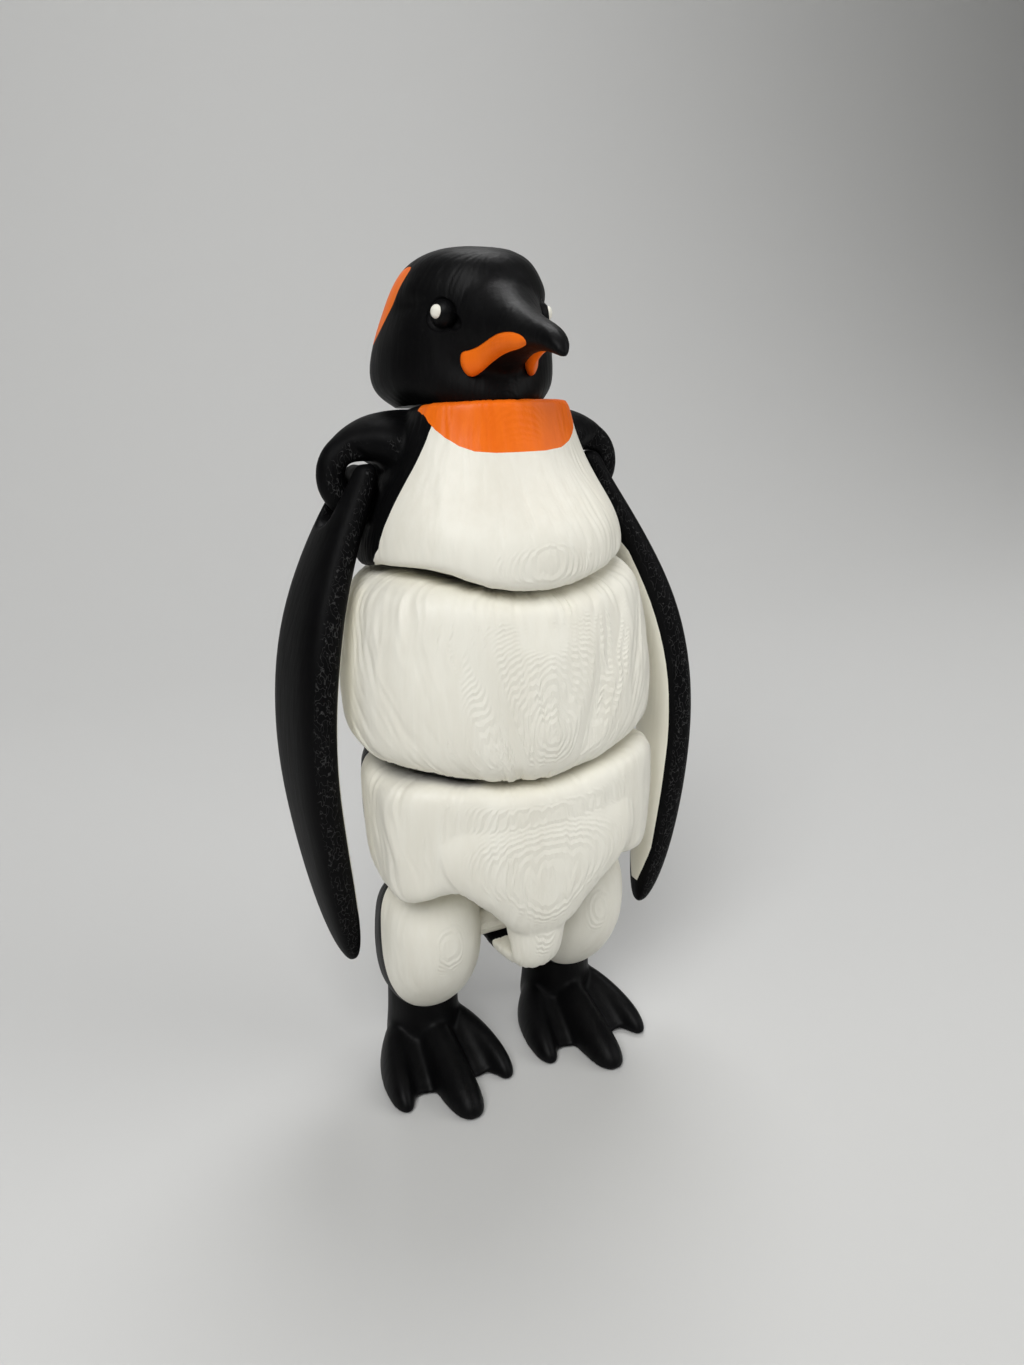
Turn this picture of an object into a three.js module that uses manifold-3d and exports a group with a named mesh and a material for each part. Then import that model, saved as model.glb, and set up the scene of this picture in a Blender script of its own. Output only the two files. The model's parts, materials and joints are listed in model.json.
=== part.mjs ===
// An articulated toy penguin, standing: millimetres, +Z up, the bill points along -Y.
// It is printed lying on its back in three colours. Each printed colour body is one solid,
// a FIT away from its neighbours, and the printed joints run with PLAY.
import * as THREE from "three";
import { mergeVertices } from "three/addons/utils/BufferGeometryUtils.js";
import Module from "manifold-3d";

const wasm = await Module();
wasm.setup();

// Clearances
const FIT = 0.3;
const PLAY = 0.4;
const SEAM = 1.3;
const NECK_GAP = 0.4;

// Heights of the stacked pieces, from the ground up, on the middle line
const SKIRT_HEIGHT = 57;
const HIPS_TALL = 26.4;
const BELLY_TALL = 43.4;
const CHEST_TALL = 40.2;
const HEAD_TALL = 31.5;

// How far the curved seams rise from the middle line to the flanks
const LOWER_SEAM_RISE = 5.5;
const LOWER_SEAM_SPAN = 39;
const UPPER_SEAM_RISE = 5.5;
const UPPER_SEAM_SPAN = 35;

// Trunk sections: half width, front and back at levels from the bottom (0) to the top (1)
const HIPS_SECTIONS = [
  { level: 0, halfWidth: 34.6, front: -25.2, back: 30, widest: -12.5 },
  { level: 0.5, halfWidth: 35.6, front: -26, back: 31, widest: -12 },
  { level: 1, halfWidth: 35.8, front: -25.8, back: 31.5, widest: -11 },
];
const BELLY_SECTIONS = [
  { level: 0, halfWidth: 37.3, front: -26, back: 31.5, widest: -3 },
  { level: 0.35, halfWidth: 38.1, front: -26.8, back: 32, widest: -1.5 },
  { level: 0.75, halfWidth: 35.9, front: -24.8, back: 31.5, widest: 0.5 },
  { level: 1, halfWidth: 32.6, front: -23.6, back: 31, widest: 1 },
];
const CHEST_SECTIONS = [
  { level: 0, halfWidth: 30.6, front: -23.8, back: 31, widest: 6 },
  { level: 0.28, halfWidth: 29.2, front: -20.8, back: 30.5, widest: 6 },
  { level: 0.5, halfWidth: 25.4, front: -16, back: 30, widest: 6 },
  { level: 0.72, halfWidth: 22, front: -11.4, back: 28, widest: 6 },
  { level: 1, halfWidth: 17.8, front: -9.6, back: 22.5, widest: 3.5 },
];
const HIPS_FILLETS = { lower: 6, upper: 4 };
const BELLY_FILLETS = { lower: 6, upper: 7 };
const CHEST_FILLETS = { lower: 3, upper: 1.2 };
const FRONT_ROUNDNESS = 2.25;
const BACK_ROUNDNESS = 2.6;

// Where white gives way to black, as a place on Y
const TRUNK_COLOUR_Y = 9;
const CHEST_COLOUR_LOW_Y = -1.6;
const CHEST_COLOUR_HIGH_Y = -3.4;

// Throat bib
const BIB_TOP_HALF_WIDTH = 18.3;
const BIB_CORNER_HALF_WIDTH = 14.3;
const BIB_DROP = 11.5;
const BIB_CORNER_DROP = 8;
const BIB_SIDE_DROP = 3;
const BIB_BACK_Y = 3;

// Keel between the thighs, with the slot that holds the hip axles, and the tail behind
const KEEL_FOOT = 32.6;
const KEEL_SECTIONS = [
  { z: KEEL_FOOT, halfWidth: 3.6, front: -18.5, back: 3, widest: -6 },
  { z: KEEL_FOOT + 1.5, halfWidth: 5.4, front: -21, back: 6, widest: -6 },
  { z: KEEL_FOOT + 5, halfWidth: 6.6, front: -23.4, back: 10, widest: -6 },
  { z: KEEL_FOOT + 12, halfWidth: 7.1, front: -25.2, back: 13, widest: -6 },
  { z: KEEL_FOOT + 20, halfWidth: 7.4, front: -25.8, back: 16, widest: -6 },
  { z: SKIRT_HEIGHT + 6, halfWidth: 11, front: -23, back: 18, widest: -6 },
];
// The prow is the keel's broad front, and the apron lies over it
const PROW_SECTIONS = [
  { z: KEEL_FOOT + 0.8, halfWidth: 3.4, front: -20.4 },
  { z: KEEL_FOOT + 2.4, halfWidth: 6.2, front: -22.4 },
  { z: KEEL_FOOT + 5, halfWidth: 8.2, front: -24 },
  { z: KEEL_FOOT + 9, halfWidth: 9.2, front: -25 },
  { z: KEEL_FOOT + 15, halfWidth: 9.8, front: -25.6 },
  { z: KEEL_FOOT + 22, halfWidth: 10.4, front: -25.6 },
];
const APRON_FOOT = 45;
const APRON_BACK_Y = -17.6;
const APRON_EDGE = 2;
const APRON_SECTIONS = [
  { z: APRON_FOOT, halfWidth: 5, front: -23.4 },
  { z: APRON_FOOT + 1.6, halfWidth: 8.6, front: -25.4 },
  { z: APRON_FOOT + 5, halfWidth: 12.4, front: -26.8 },
  { z: APRON_FOOT + 9, halfWidth: 16.6, front: -27.4 },
  { z: APRON_FOOT + 13, halfWidth: 21.5, front: -27.6 },
  { z: SKIRT_HEIGHT + 7, halfWidth: 26.5, front: -27.6 },
  { z: SKIRT_HEIGHT + 14, halfWidth: 27.5, front: -27 },
  { z: SKIRT_HEIGHT + 20, halfWidth: 24, front: -25.8 },
  { z: SKIRT_HEIGHT + 23, halfWidth: 17, front: -23.6 },
];
const TAIL_FOOT = 38;
const TAIL_HALF_WIDTH = 8;
const TAIL_FRONT_Y = 19;
const TAIL_BACK_Y = 30.5;
const TAIL_TIP = [
  { rise: 0, share: 0.25 },
  { rise: 1.5, share: 0.45 },
  { rise: 13, share: 0.85 },
];

// Hip axles and legs, measured on the left leg
const AXLE_RADIUS = 4;
const AXLE_Y = -5;
const AXLE_RISE = 8.4;
const AXLE_Z = KEEL_FOOT + AXLE_RISE;
const AXLE_INNER_X = 1;
const AXLE_SEAT_DEPTH = 6;
const SLOT_REACH = 10;
const THIGH_X = 20.9;
const THIGH_HALF_WIDTH = 13;
const THIGH_FOOT = 18;
const THIGH_GAP = 1.4;
const THIGH_TOP = SKIRT_HEIGHT - THIGH_GAP;
const THIGH_SECTIONS = [
  { level: 0, width: 0.42, front: -4, back: 10 },
  { level: 0.06, width: 0.68, front: -6.6, back: 13.4 },
  { level: 0.18, width: 0.87, front: -10.6, back: 15 },
  { level: 0.36, width: 0.98, front: -14.6, back: 15 },
  { level: 0.58, width: 1, front: -16.6, back: 14.6 },
  { level: 0.8, width: 0.95, front: -16, back: 12.6 },
  { level: 0.93, width: 0.8, front: -13.6, back: 8.6 },
  { level: 1, width: 0.52, front: -9.4, back: 3 },
];
const THIGH_COLOUR_LOW_Y = -4;
const THIGH_COLOUR_HIGH_Y = 1.5;
const SHANK_RADIUS = 9.3;
const SHANK_X = 20.3;
const SHANK_Y = 6.1;
const SHANK_TOP = 30;

// Feet, measured from the shank's own axis: across, forward, half width and height of each ridge
const HEEL_RADIUS = 10.4;
const HEEL_TALL = 11.5;
const MIDDLE_TOE = [
  { across: 0, forward: -2, halfWidth: 6, tall: 15.5 },
  { across: 0, forward: 10, halfWidth: 5.6, tall: 13 },
  { across: 0, forward: 20, halfWidth: 5.2, tall: 9.6 },
  { across: 0, forward: 28, halfWidth: 4.7, tall: 6.8 },
  { across: 0, forward: 32.2, halfWidth: 3.2, tall: 4.2 },
  { across: 0, forward: 34.1, halfWidth: 1, tall: 1.2 },
];
const SIDE_TOE = [
  { across: 3, forward: -3, halfWidth: 5, tall: 14 },
  { across: 9.2, forward: 3.5, halfWidth: 4.9, tall: 11.4 },
  { across: 12, forward: 11, halfWidth: 4.2, tall: 8.8 },
  { across: 13.4, forward: 18, halfWidth: 3.5, tall: 6.6 },
  { across: 13.9, forward: 22.6, halfWidth: 2.3, tall: 4 },
  { across: 13.7, forward: 24.8, halfWidth: 0.8, tall: 1.2 },
];
const WEB_HALF_WIDTH = 12.6;
const WEB_HEEL_CUT = 4;
const WEB_FORWARD = 21;
const WEB_NOTCH_RADIUS = 3.6;
const WEB_BACK_TALL = 12.5;
const WEB_FRONT_TALL = 3.2;

// Waist hinges: a tongue on the upper piece turns on a pin in the lower one
const PIN_RADIUS = 3;
const PIN_DEPTH = 9;
const PIN_SEAT = 4;
const TONGUE_RADIUS = 6.4;
const TONGUE_THICK = 9;
const TONGUE_ROOT = 7;
const HINGE_Y = 4;
const WAIST_SWING = THREE.MathUtils.degToRad(2.6);

// Neck stud
const NECK_Y = 12;
const NECK_TILT = THREE.MathUtils.degToRad(6.5);
const STUD_RADIUS = 5;
const STUD_FLANGE_RADIUS = 8.5;
const STUD_FLANGE_TALL = 3.5;
const STUD_RISE = 6;
const STUD_SINK = 7;

// Head sections from its flat, tilted foot (0) to the crown (1)
const HEAD_SECTIONS = [
  { level: 0, halfWidth: 20, front: -4.8, back: 31.6, widest: 20 },
  { level: 0.06, halfWidth: 21.4, front: -4.2, back: 32.9, widest: 20.6 },
  { level: 0.22, halfWidth: 22.4, front: -2.2, back: 33.6, widest: 21.2 },
  { level: 0.42, halfWidth: 21.2, front: -2.4, back: 33.2, widest: 20.6 },
  { level: 0.62, halfWidth: 18.9, front: -3.6, back: 31, widest: 18.6 },
  { level: 0.8, halfWidth: 16.9, front: -3.4, back: 27.6, widest: 17 },
  { level: 0.92, halfWidth: 13.8, front: -0.4, back: 23.4, widest: 14 },
  { level: 0.985, halfWidth: 8.6, front: 4, back: 18, widest: 11.5 },
  { level: 1, halfWidth: 4, front: 8.4, back: 14.5, widest: 11.5 },
];
const HEAD_ROUNDNESS = 2;

// Bill: stations along -Y with half width, top and bottom above the head's foot
const BILL_SECTIONS = [
  { forward: -4, halfWidth: 12.6, top: 27.4, bottom: 2.6 },
  { forward: 1, halfWidth: 9.8, top: 24.6, bottom: 3.6 },
  { forward: 5, halfWidth: 7.4, top: 22, bottom: 5.6 },
  { forward: 11.5, halfWidth: 5.6, top: 18.9, bottom: 8 },
  { forward: 17, halfWidth: 4.7, top: 16.9, bottom: 9.1 },
  { forward: 21.5, halfWidth: 3.9, top: 15.6, bottom: 9.4 },
  { forward: 25.5, halfWidth: 3, top: 14.4, bottom: 9.2 },
  { forward: 28.6, halfWidth: 2, top: 12.6, bottom: 8.6 },
  { forward: 30.4, halfWidth: 0.9, top: 10, bottom: 8 },
];
const PLATE_HALF_TALL = { rear: 3.8, front: 1.9 };
const PLATE_HALF_THICK = 1.7;
const PLATE_TIP = 0.28;
const PLATE_PATH = [
  { x: 8.9, y: 0.2, rise: 6.4 },
  { x: 7.1, y: -2.2, rise: 7.4 },
  { x: 5.5, y: -6, rise: 9.4 },
  { x: 4.4, y: -12.4, rise: 11.3 },
  { x: 3, y: -20.8, rise: 11.7 },
];

// Eyes: an almond hollow, a ball in it and a white spot on the ball
const EYE_X = 13.6;
const EYE_Y = 2.2;
const EYE_RISE = 17.4;
const EYE_HOLLOW_HALF = { along: 4.4, across: 1.9, up: 3.6 };
const EYE_BALL_RADIUS = 3.1;
const EYE_BALL_SINK = 2.1;
const SPOT_HALF_WIDTH = 1.35;
const SPOT_HALF_TALL = 1.8;
const SPOT_PROUD = 0.35;
const SPOT_DEEP = 0.9;
const EYE_TURN = THREE.MathUtils.degToRad(42);

// Ear patches let into the sides of the nape
const PATCH_DEPTH = 1.4;
const PATCH_OUTLINE = [
  { y: 13.4, rise: 26.8 },
  { y: 15.6, rise: 20.5 },
  { y: 19.4, rise: 14.5 },
  { y: 24.4, rise: 10.6 },
  { y: 27, rise: 15.5 },
  { y: 22.6, rise: 24.6 },
];

// Shoulder rings and flippers, measured on the left side
const RING_X = 28.8;
const RING_Y = 13;
const RING_DROP = 17.2;
const RING_TUBE = 3.3;
const BAR_RADIUS = 3.1;
const BAR_OVERLAP = 1.3;
const RING_PLAY = 0.7;
const SLOT_PLAY = 1.3;
const ROOM = 1.3;
const BLADE_TWIST = THREE.MathUtils.degToRad(7);
const TWIST_DROP = 40;
const BLADE_ROUNDNESS = 3.2;
const LINING_DEPTH = 1.3;
const LINING_LEAD = 0.8;
const LINING_TRAIL = 1.6;
const LINING_END = 0.45;
const LINING_STEPS = 10;
const LINING_FROM = 14;
const LINING_TO = 113;
// Stations out along a yoke: distance inward of and behind the ring, half depth and height, rise over it
const YOKE = [
  { inward: 17.8, behind: 1.6, halfDeep: 12.6, halfTall: 6.6, above: 0.6 },
  { inward: 10.8, behind: 2.2, halfDeep: 12.2, halfTall: 6.6, above: 0.6 },
  { inward: 5, behind: 1.8, halfDeep: 10, halfTall: 6, above: 1 },
  { inward: 0.5, behind: 0.8, halfDeep: 6, halfTall: 4.6, above: 0.8 },
  { inward: -2.5, behind: 0, halfDeep: 3, halfTall: 3, above: -0.4 },
];
// How the flippers hang: spread outwards, and swung forwards on their loose rings
const RIGHT_HANG = { spread: 0, swing: 0 };
const LEFT_HANG = { spread: 0.6, swing: 5 };
// Stations down the blade: drop below the bar, outward offset, leading and trailing edge, thickness
const BLADE = [
  { drop: -3.1, out: 0, lead: 7, trail: 19, thick: 2.4 },
  { drop: -1.9, out: 0.1, lead: 5.4, trail: 20.6, thick: 5 },
  { drop: 2, out: 1.4, lead: 4.8, trail: 21.2, thick: 6.6 },
  { drop: 12, out: 7.8, lead: 2.4, trail: 21.4, thick: 7.4 },
  { drop: 24.5, out: 13.6, lead: -1.5, trail: 20.5, thick: 7.8 },
  { drop: 37.5, out: 17.6, lead: -5, trail: 18.5, thick: 8 },
  { drop: 52.5, out: 19.6, lead: -6.7, trail: 17, thick: 8 },
  { drop: 67.5, out: 19.6, lead: -6.6, trail: 15.6, thick: 8 },
  { drop: 82.5, out: 17.9, lead: -5.6, trail: 14, thick: 8 },
  { drop: 97.5, out: 15.4, lead: -3.6, trail: 12.4, thick: 7.8 },
  { drop: 109, out: 13, lead: -1, trail: 10.8, thick: 7 },
  { drop: 116.5, out: 11.3, lead: 1.8, trail: 9, thick: 5.2 },
  { drop: 120.5, out: 10.4, lead: 4.2, trail: 7.2, thick: 2.2 },
];

// Facet counts
const TRUNK_SIDES = 32;
const HEAD_SIDES = 26;
const LIMB_SIDES = 16;
const PLATE_SIDES = 8;
const TOE_SIDES = 7;
const ROUND_SIDES = 16;
const BALL_SIDES = 10;
const TUBE_SIDES = 8;

const BLACK = new THREE.MeshStandardMaterial({ color: 0x141415, roughness: 0.55, metalness: 0 });
const WHITE = new THREE.MeshStandardMaterial({ color: 0xf0eee6, roughness: 0.5, metalness: 0 });
const ORANGE = new THREE.MeshStandardMaterial({ color: 0xf47a16, roughness: 0.5, metalness: 0 });

// Levels that follow from the stack
const HIPS_TOP = SKIRT_HEIGHT + HIPS_TALL;
const BELLY_FOOT = HIPS_TOP + SEAM;
const BELLY_TOP = BELLY_FOOT + BELLY_TALL;
const CHEST_FOOT = BELLY_TOP + SEAM;
const CHEST_TOP = CHEST_FOOT + CHEST_TALL;
const HEAD_FOOT = CHEST_TOP + NECK_GAP;
const RING_Z = CHEST_TOP - RING_DROP;
const RING_MAJOR = BAR_RADIUS + RING_PLAY + RING_TUBE;
const LOWER_PIN_Z = HIPS_TOP - PIN_DEPTH;
const UPPER_PIN_Z = BELLY_TOP - PIN_DEPTH;
const FAR = 400;
const OVERCUT = 1;

// A closed body from points and triangles, with its faces turned outwards.
function body(points, faces) {
  let volume = 0;
  for (let i = 0; i < faces.length; i += 3) {
    const [a, b, c] = [points[faces[i]], points[faces[i + 1]], points[faces[i + 2]]];
    volume += a.dot(new THREE.Vector3().crossVectors(b, c));
  }
  const outward = volume > 0 ? faces : faces.toReversed();
  const vertProperties = new Float32Array(points.flatMap((p) => p.toArray()));
  const triVerts = new Uint32Array(outward);
  return new wasm.Manifold(new wasm.Mesh({ numProp: 3, vertProperties, triVerts }));
}

// A closed body from one of the library's closed geometries.
function bodyOf(geometry) {
  geometry.deleteAttribute("normal");
  geometry.deleteAttribute("uv");
  const merged = mergeVertices(geometry, 1e-4);
  const position = merged.getAttribute("position");
  const points = [];
  for (let i = 0; i < position.count; i += 1) {
    points.push(new THREE.Vector3().fromBufferAttribute(position, i));
  }
  return body(points, [...merged.index.array]);
}

function centreOf(ring) {
  const sum = new THREE.Vector3();
  ring.forEach((p) => sum.add(p));
  return sum.divideScalar(ring.length);
}

// A body lofted through rings of equal length, closed by a fan at each end.
function loft(rings) {
  const count = rings[0].length;
  const points = rings.flat();
  const faces = [];
  for (let r = 0; r + 1 < rings.length; r += 1) {
    const low = r * count;
    const high = low + count;
    for (let i = 0; i < count; i += 1) {
      const j = (i + 1) % count;
      faces.push(low + i, low + j, high + j, low + i, high + j, high + i);
    }
  }
  const last = points.length - count;
  const first = points.push(centreOf(rings[0])) - 1;
  const end = points.push(centreOf(rings.at(-1))) - 1;
  for (let i = 0; i < count; i += 1) {
    const j = (i + 1) % count;
    faces.push(first, j, i, end, last + i, last + j);
  }
  return body(points, faces);
}

// Every value of a list of stations at one place, on a smooth curve through them.
function stationAt(stations, key, place) {
  const last = stations.length - 1;
  let i = 0;
  while (i < last - 1 && place > stations[i + 1][key]) i += 1;
  const [a, b] = [stations[i], stations[i + 1]];
  const before = stations[Math.max(0, i - 1)];
  const after = stations[Math.min(last, i + 2)];
  const span = b[key] - a[key];
  const t = (place - a[key]) / span;
  const result = {};
  for (const name of Object.keys(a)) {
    const startSlope = ((b[name] - before[name]) / (b[key] - before[key])) * span;
    const endSlope = ((after[name] - a[name]) / (after[key] - a[key])) * span;
    const rise = b[name] - a[name];
    const bend = 3 * rise - 2 * startSlope - endSlope;
    const twist = startSlope + endSlope - 2 * rise;
    result[name] = a[name] + t * (startSlope + t * (bend + t * twist));
  }
  return result;
}

function roundedPower(value, roundness) {
  return Math.sign(value) * Math.abs(value) ** (2 / roundness);
}

// A level ring, round in front and flatter behind.
function levelRing({ z, x = 0, halfWidth, front, back, widest }, sides, frontRoundness = FRONT_ROUNDNESS) {
  return Array.from({ length: sides }, (_, i) => {
    const angle = (2 * Math.PI * i) / sides;
    const behind = Math.sin(angle) > 0;
    const roundness = behind ? BACK_ROUNDNESS : frontRoundness;
    const depth = behind ? back - widest : widest - front;
    return new THREE.Vector3(
      x + halfWidth * roundedPower(Math.cos(angle), roundness),
      widest + depth * roundedPower(Math.sin(angle), roundness),
      z,
    );
  });
}

function seamRise(x, rise, span) {
  return rise * Math.sin((Math.PI / 2) * Math.min(1, Math.abs(x) / span)) ** 2;
}

// One stacked piece of the trunk: sections with rounded edges, bent to the seams above and below.
function trunkPiece({ foot, tall, sections, fillets, lowerRise, upperRise }) {
  const edgeSteps = 3;
  const wallSteps = 4;
  const rings = [];
  const addRing = (height, inset, scale) => {
    const level = height / tall;
    const at = stationAt(sections, "level", level);
    const ring = levelRing(
      {
        z: foot + height,
        halfWidth: (at.halfWidth - inset) * scale,
        front: at.widest + (at.front + inset - at.widest) * scale,
        back: at.widest + (at.back - inset - at.widest) * scale,
        widest: at.widest,
      },
      TRUNK_SIDES,
    );
    ring.forEach((p) => {
      p.z += (1 - level) * lowerRise(p.x, p.y) + level * upperRise(p.x, p.y);
    });
    rings.push(ring);
  };
  const capShare = 0.5;
  addRing(0, fillets.lower, capShare);
  for (let s = 0; s < edgeSteps; s += 1) {
    const angle = ((s / edgeSteps) * Math.PI) / 2;
    addRing(fillets.lower * (1 - Math.cos(angle)), fillets.lower * (1 - Math.sin(angle)), 1);
  }
  const wall = tall - fillets.lower - fillets.upper;
  for (let s = 0; s <= wallSteps; s += 1) addRing(fillets.lower + (wall * s) / wallSteps, 0, 1);
  for (let s = edgeSteps - 1; s >= 0; s -= 1) {
    const angle = ((s / edgeSteps) * Math.PI) / 2;
    addRing(tall - fillets.upper * (1 - Math.cos(angle)), fillets.upper * (1 - Math.sin(angle)), 1);
  }
  addRing(tall, fillets.upper, capShare);
  return loft(rings);
}

function boxBody(min, max) {
  const geometry = new THREE.BoxGeometry(max.x - min.x, max.y - min.y, max.z - min.z);
  geometry.translate((min.x + max.x) / 2, (min.y + max.y) / 2, (min.z + max.z) / 2);
  return bodyOf(geometry);
}

// A round bar along X or Y between two places on that axis.
function barBody(axis, radius, from, to, at) {
  const geometry = new THREE.CylinderGeometry(radius, radius, to - from, ROUND_SIDES);
  if (axis === "x") geometry.rotateZ(Math.PI / 2);
  geometry.translate(at.x, at.y, at.z);
  return bodyOf(geometry);
}

function ellipsoidBody(centre, half, turnZ = 0) {
  const geometry = new THREE.SphereGeometry(1, BALL_SIDES, BALL_SIDES / 2);
  geometry.scale(half.x, half.y, half.z);
  geometry.rotateZ(turnZ);
  geometry.translate(centre.x, centre.y, centre.z);
  return bodyOf(geometry);
}

// Everything in front of a plane that leans from one place on Y at a low level to another higher up.
function frontOf(lowZ, lowY, highZ, highY, shift) {
  const slope = (highY - lowY) / (highZ - lowZ);
  const corner = (z) => lowY + slope * (z - lowZ) + shift;
  const [bottom, top] = [-FAR, FAR];
  const ring = (x) => [
    new THREE.Vector3(x, -2 * FAR, bottom),
    new THREE.Vector3(x, corner(bottom), bottom),
    new THREE.Vector3(x, corner(top), top),
    new THREE.Vector3(x, -2 * FAR, top),
  ];
  return loft([ring(-FAR), ring(FAR)]);
}

// Splits a body at such a plane into its front and its back, a FIT apart.
function splitColours(whole, lowZ, lowY, highZ, highY) {
  return {
    front: whole.intersect(frontOf(lowZ, lowY, highZ, highY, -FIT / 2)),
    back: whole.subtract(frontOf(lowZ, lowY, highZ, highY, FIT / 2)),
  };
}

function meshOf(name, solid, material) {
  const made = solid.getMesh();
  const geometry = new THREE.BufferGeometry();
  geometry.setAttribute("position", new THREE.BufferAttribute(made.vertProperties, 3));
  geometry.setIndex(new THREE.BufferAttribute(made.triVerts, 1));
  geometry.computeVertexNormals();
  const mesh = new THREE.Mesh(geometry, material);
  mesh.name = name;
  return mesh;
}

// A group turned about Y and then about X at a pivot, whose children keep the figure's coordinates.
function turnedAbout(pivot, aboutX, aboutY) {
  const group = new THREE.Group();
  group.rotation.set(THREE.MathUtils.degToRad(aboutX), THREE.MathUtils.degToRad(aboutY), 0);
  group.position.copy(pivot).sub(pivot.clone().applyEuler(group.rotation));
  return group;
}

const lowerSeam = (x) => seamRise(x, LOWER_SEAM_RISE, LOWER_SEAM_SPAN);
const upperSeam = (x) => seamRise(x, UPPER_SEAM_RISE, UPPER_SEAM_SPAN);
const level = () => 0;

// How far the neck's joint has dropped, from the front of the chest's top towards the nape.
function neckDrop(y) {
  return Math.tan(NECK_TILT) * Math.max(0, y - CHEST_SECTIONS.at(-1).front);
}

// The tongue of a waist hinge, its pocket and its pin, about a pin at the given height.
function waistHinge(pinZ, seatTop) {
  const near = HINGE_Y - TONGUE_THICK / 2;
  const far = HINGE_Y + TONGUE_THICK / 2;
  const pinAt = new THREE.Vector3(0, HINGE_Y, pinZ);
  const swing = Math.sin(WAIST_SWING) * (seatTop - pinZ);
  const hull = (radius, front, back, top) =>
    barBody("y", radius, front, back, pinAt).add(
      boxBody(new THREE.Vector3(-radius, front, pinZ), new THREE.Vector3(radius, back, top)),
    );
  const rootTop = seatTop + TONGUE_ROOT;
  const pinFrom = near - PLAY - PIN_SEAT;
  const pinTo = far + PLAY + PIN_SEAT;
  return {
    tongue: hull(TONGUE_RADIUS, near, far, rootTop).subtract(
      barBody("y", PIN_RADIUS + PLAY, near - FIT, far + FIT, pinAt),
    ),
    rootSocket: boxBody(
      new THREE.Vector3(-TONGUE_RADIUS - FIT, near - FIT, pinZ),
      new THREE.Vector3(TONGUE_RADIUS + FIT, far + FIT, rootTop + FIT),
    ),
    pocket: hull(TONGUE_RADIUS + PLAY + swing, near - PLAY, far + PLAY, FAR),
    pin: barBody("y", PIN_RADIUS, pinFrom, pinTo, pinAt),
    pinSeat: barBody("y", PIN_RADIUS + FIT, pinFrom - FIT, pinTo + FIT, pinAt),
  };
}

const lowerHinge = waistHinge(LOWER_PIN_Z, BELLY_FOOT);
const upperHinge = waistHinge(UPPER_PIN_Z, CHEST_FOOT);

// Hips: the skirt, the keel with its axle slot, and the tail
function hipsPieces() {
  const skirt = trunkPiece({
    foot: SKIRT_HEIGHT,
    tall: HIPS_TALL,
    sections: HIPS_SECTIONS,
    fillets: HIPS_FILLETS,
    lowerRise: level,
    upperRise: lowerSeam,
  });
  const keel = loft(
    KEEL_SECTIONS.map((section) => levelRing(section, LIMB_SIDES)),
  );
  const flap = (sections) =>
    loft(
      sections.map((section) =>
        levelRing({ ...section, back: APRON_BACK_Y, widest: APRON_BACK_Y - APRON_EDGE }, LIMB_SIDES),
      ),
    );
  const tailRing = (z, share) =>
    levelRing(
      {
        z,
        halfWidth: TAIL_HALF_WIDTH * share,
        front: TAIL_BACK_Y - (TAIL_BACK_Y - TAIL_FRONT_Y) * share,
        back: TAIL_BACK_Y,
        widest: TAIL_BACK_Y - ((TAIL_BACK_Y - TAIL_FRONT_Y) * share) / 2,
      },
      LIMB_SIDES,
    );
  const tailRoot = SKIRT_HEIGHT + HIPS_FILLETS.lower;
  const tailRings = TAIL_TIP.map(({ rise, share }) => tailRing(TAIL_FOOT + rise, share));
  const tail = loft([...tailRings, tailRing(tailRoot, 1)]);
  const slotRadius = AXLE_RADIUS + PLAY;
  const slotEnd = new THREE.Vector3(0, AXLE_Y - SLOT_REACH, AXLE_Z);
  const slotStart = new THREE.Vector3(0, AXLE_Y, AXLE_Z);
  const slot = barBody("x", slotRadius, -THIGH_X, THIGH_X, slotStart)
    .add(barBody("x", slotRadius, -THIGH_X, THIGH_X, slotEnd))
    .add(
      boxBody(
        new THREE.Vector3(-THIGH_X, slotEnd.y, AXLE_Z - slotRadius),
        new THREE.Vector3(THIGH_X, slotStart.y, AXLE_Z + slotRadius),
      ),
    );
  const whole = skirt
    .add(keel)
    .add(flap(PROW_SECTIONS))
    .add(flap(APRON_SECTIONS))
    .add(tail)
    .subtract(slot)
    .subtract(lowerHinge.pocket)
    .subtract(lowerHinge.pinSeat);
  const { front, back } = splitColours(whole, SKIRT_HEIGHT, TRUNK_COLOUR_Y, HIPS_TOP, TRUNK_COLOUR_Y);
  return [
    meshOf("hips_front", front, WHITE),
    meshOf("hips_back", back, BLACK),
    meshOf("lower_waist_pin", lowerHinge.pin, BLACK),
  ];
}

// Belly: turns on the lower pin and carries the upper one
function bellyPieces() {
  const whole = trunkPiece({
    foot: BELLY_FOOT,
    tall: BELLY_TALL,
    sections: BELLY_SECTIONS,
    fillets: BELLY_FILLETS,
    lowerRise: lowerSeam,
    upperRise: upperSeam,
  })
    .subtract(lowerHinge.rootSocket)
    .subtract(upperHinge.pocket)
    .subtract(upperHinge.pinSeat);
  const { front, back } = splitColours(whole, BELLY_FOOT, TRUNK_COLOUR_Y, BELLY_TOP, TRUNK_COLOUR_Y);
  return [
    meshOf("belly_front", front, WHITE),
    meshOf("belly_back", back, BLACK),
    meshOf("belly_tongue", lowerHinge.tongue, BLACK),
    meshOf("upper_waist_pin", upperHinge.pin, BLACK),
  ];
}

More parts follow.
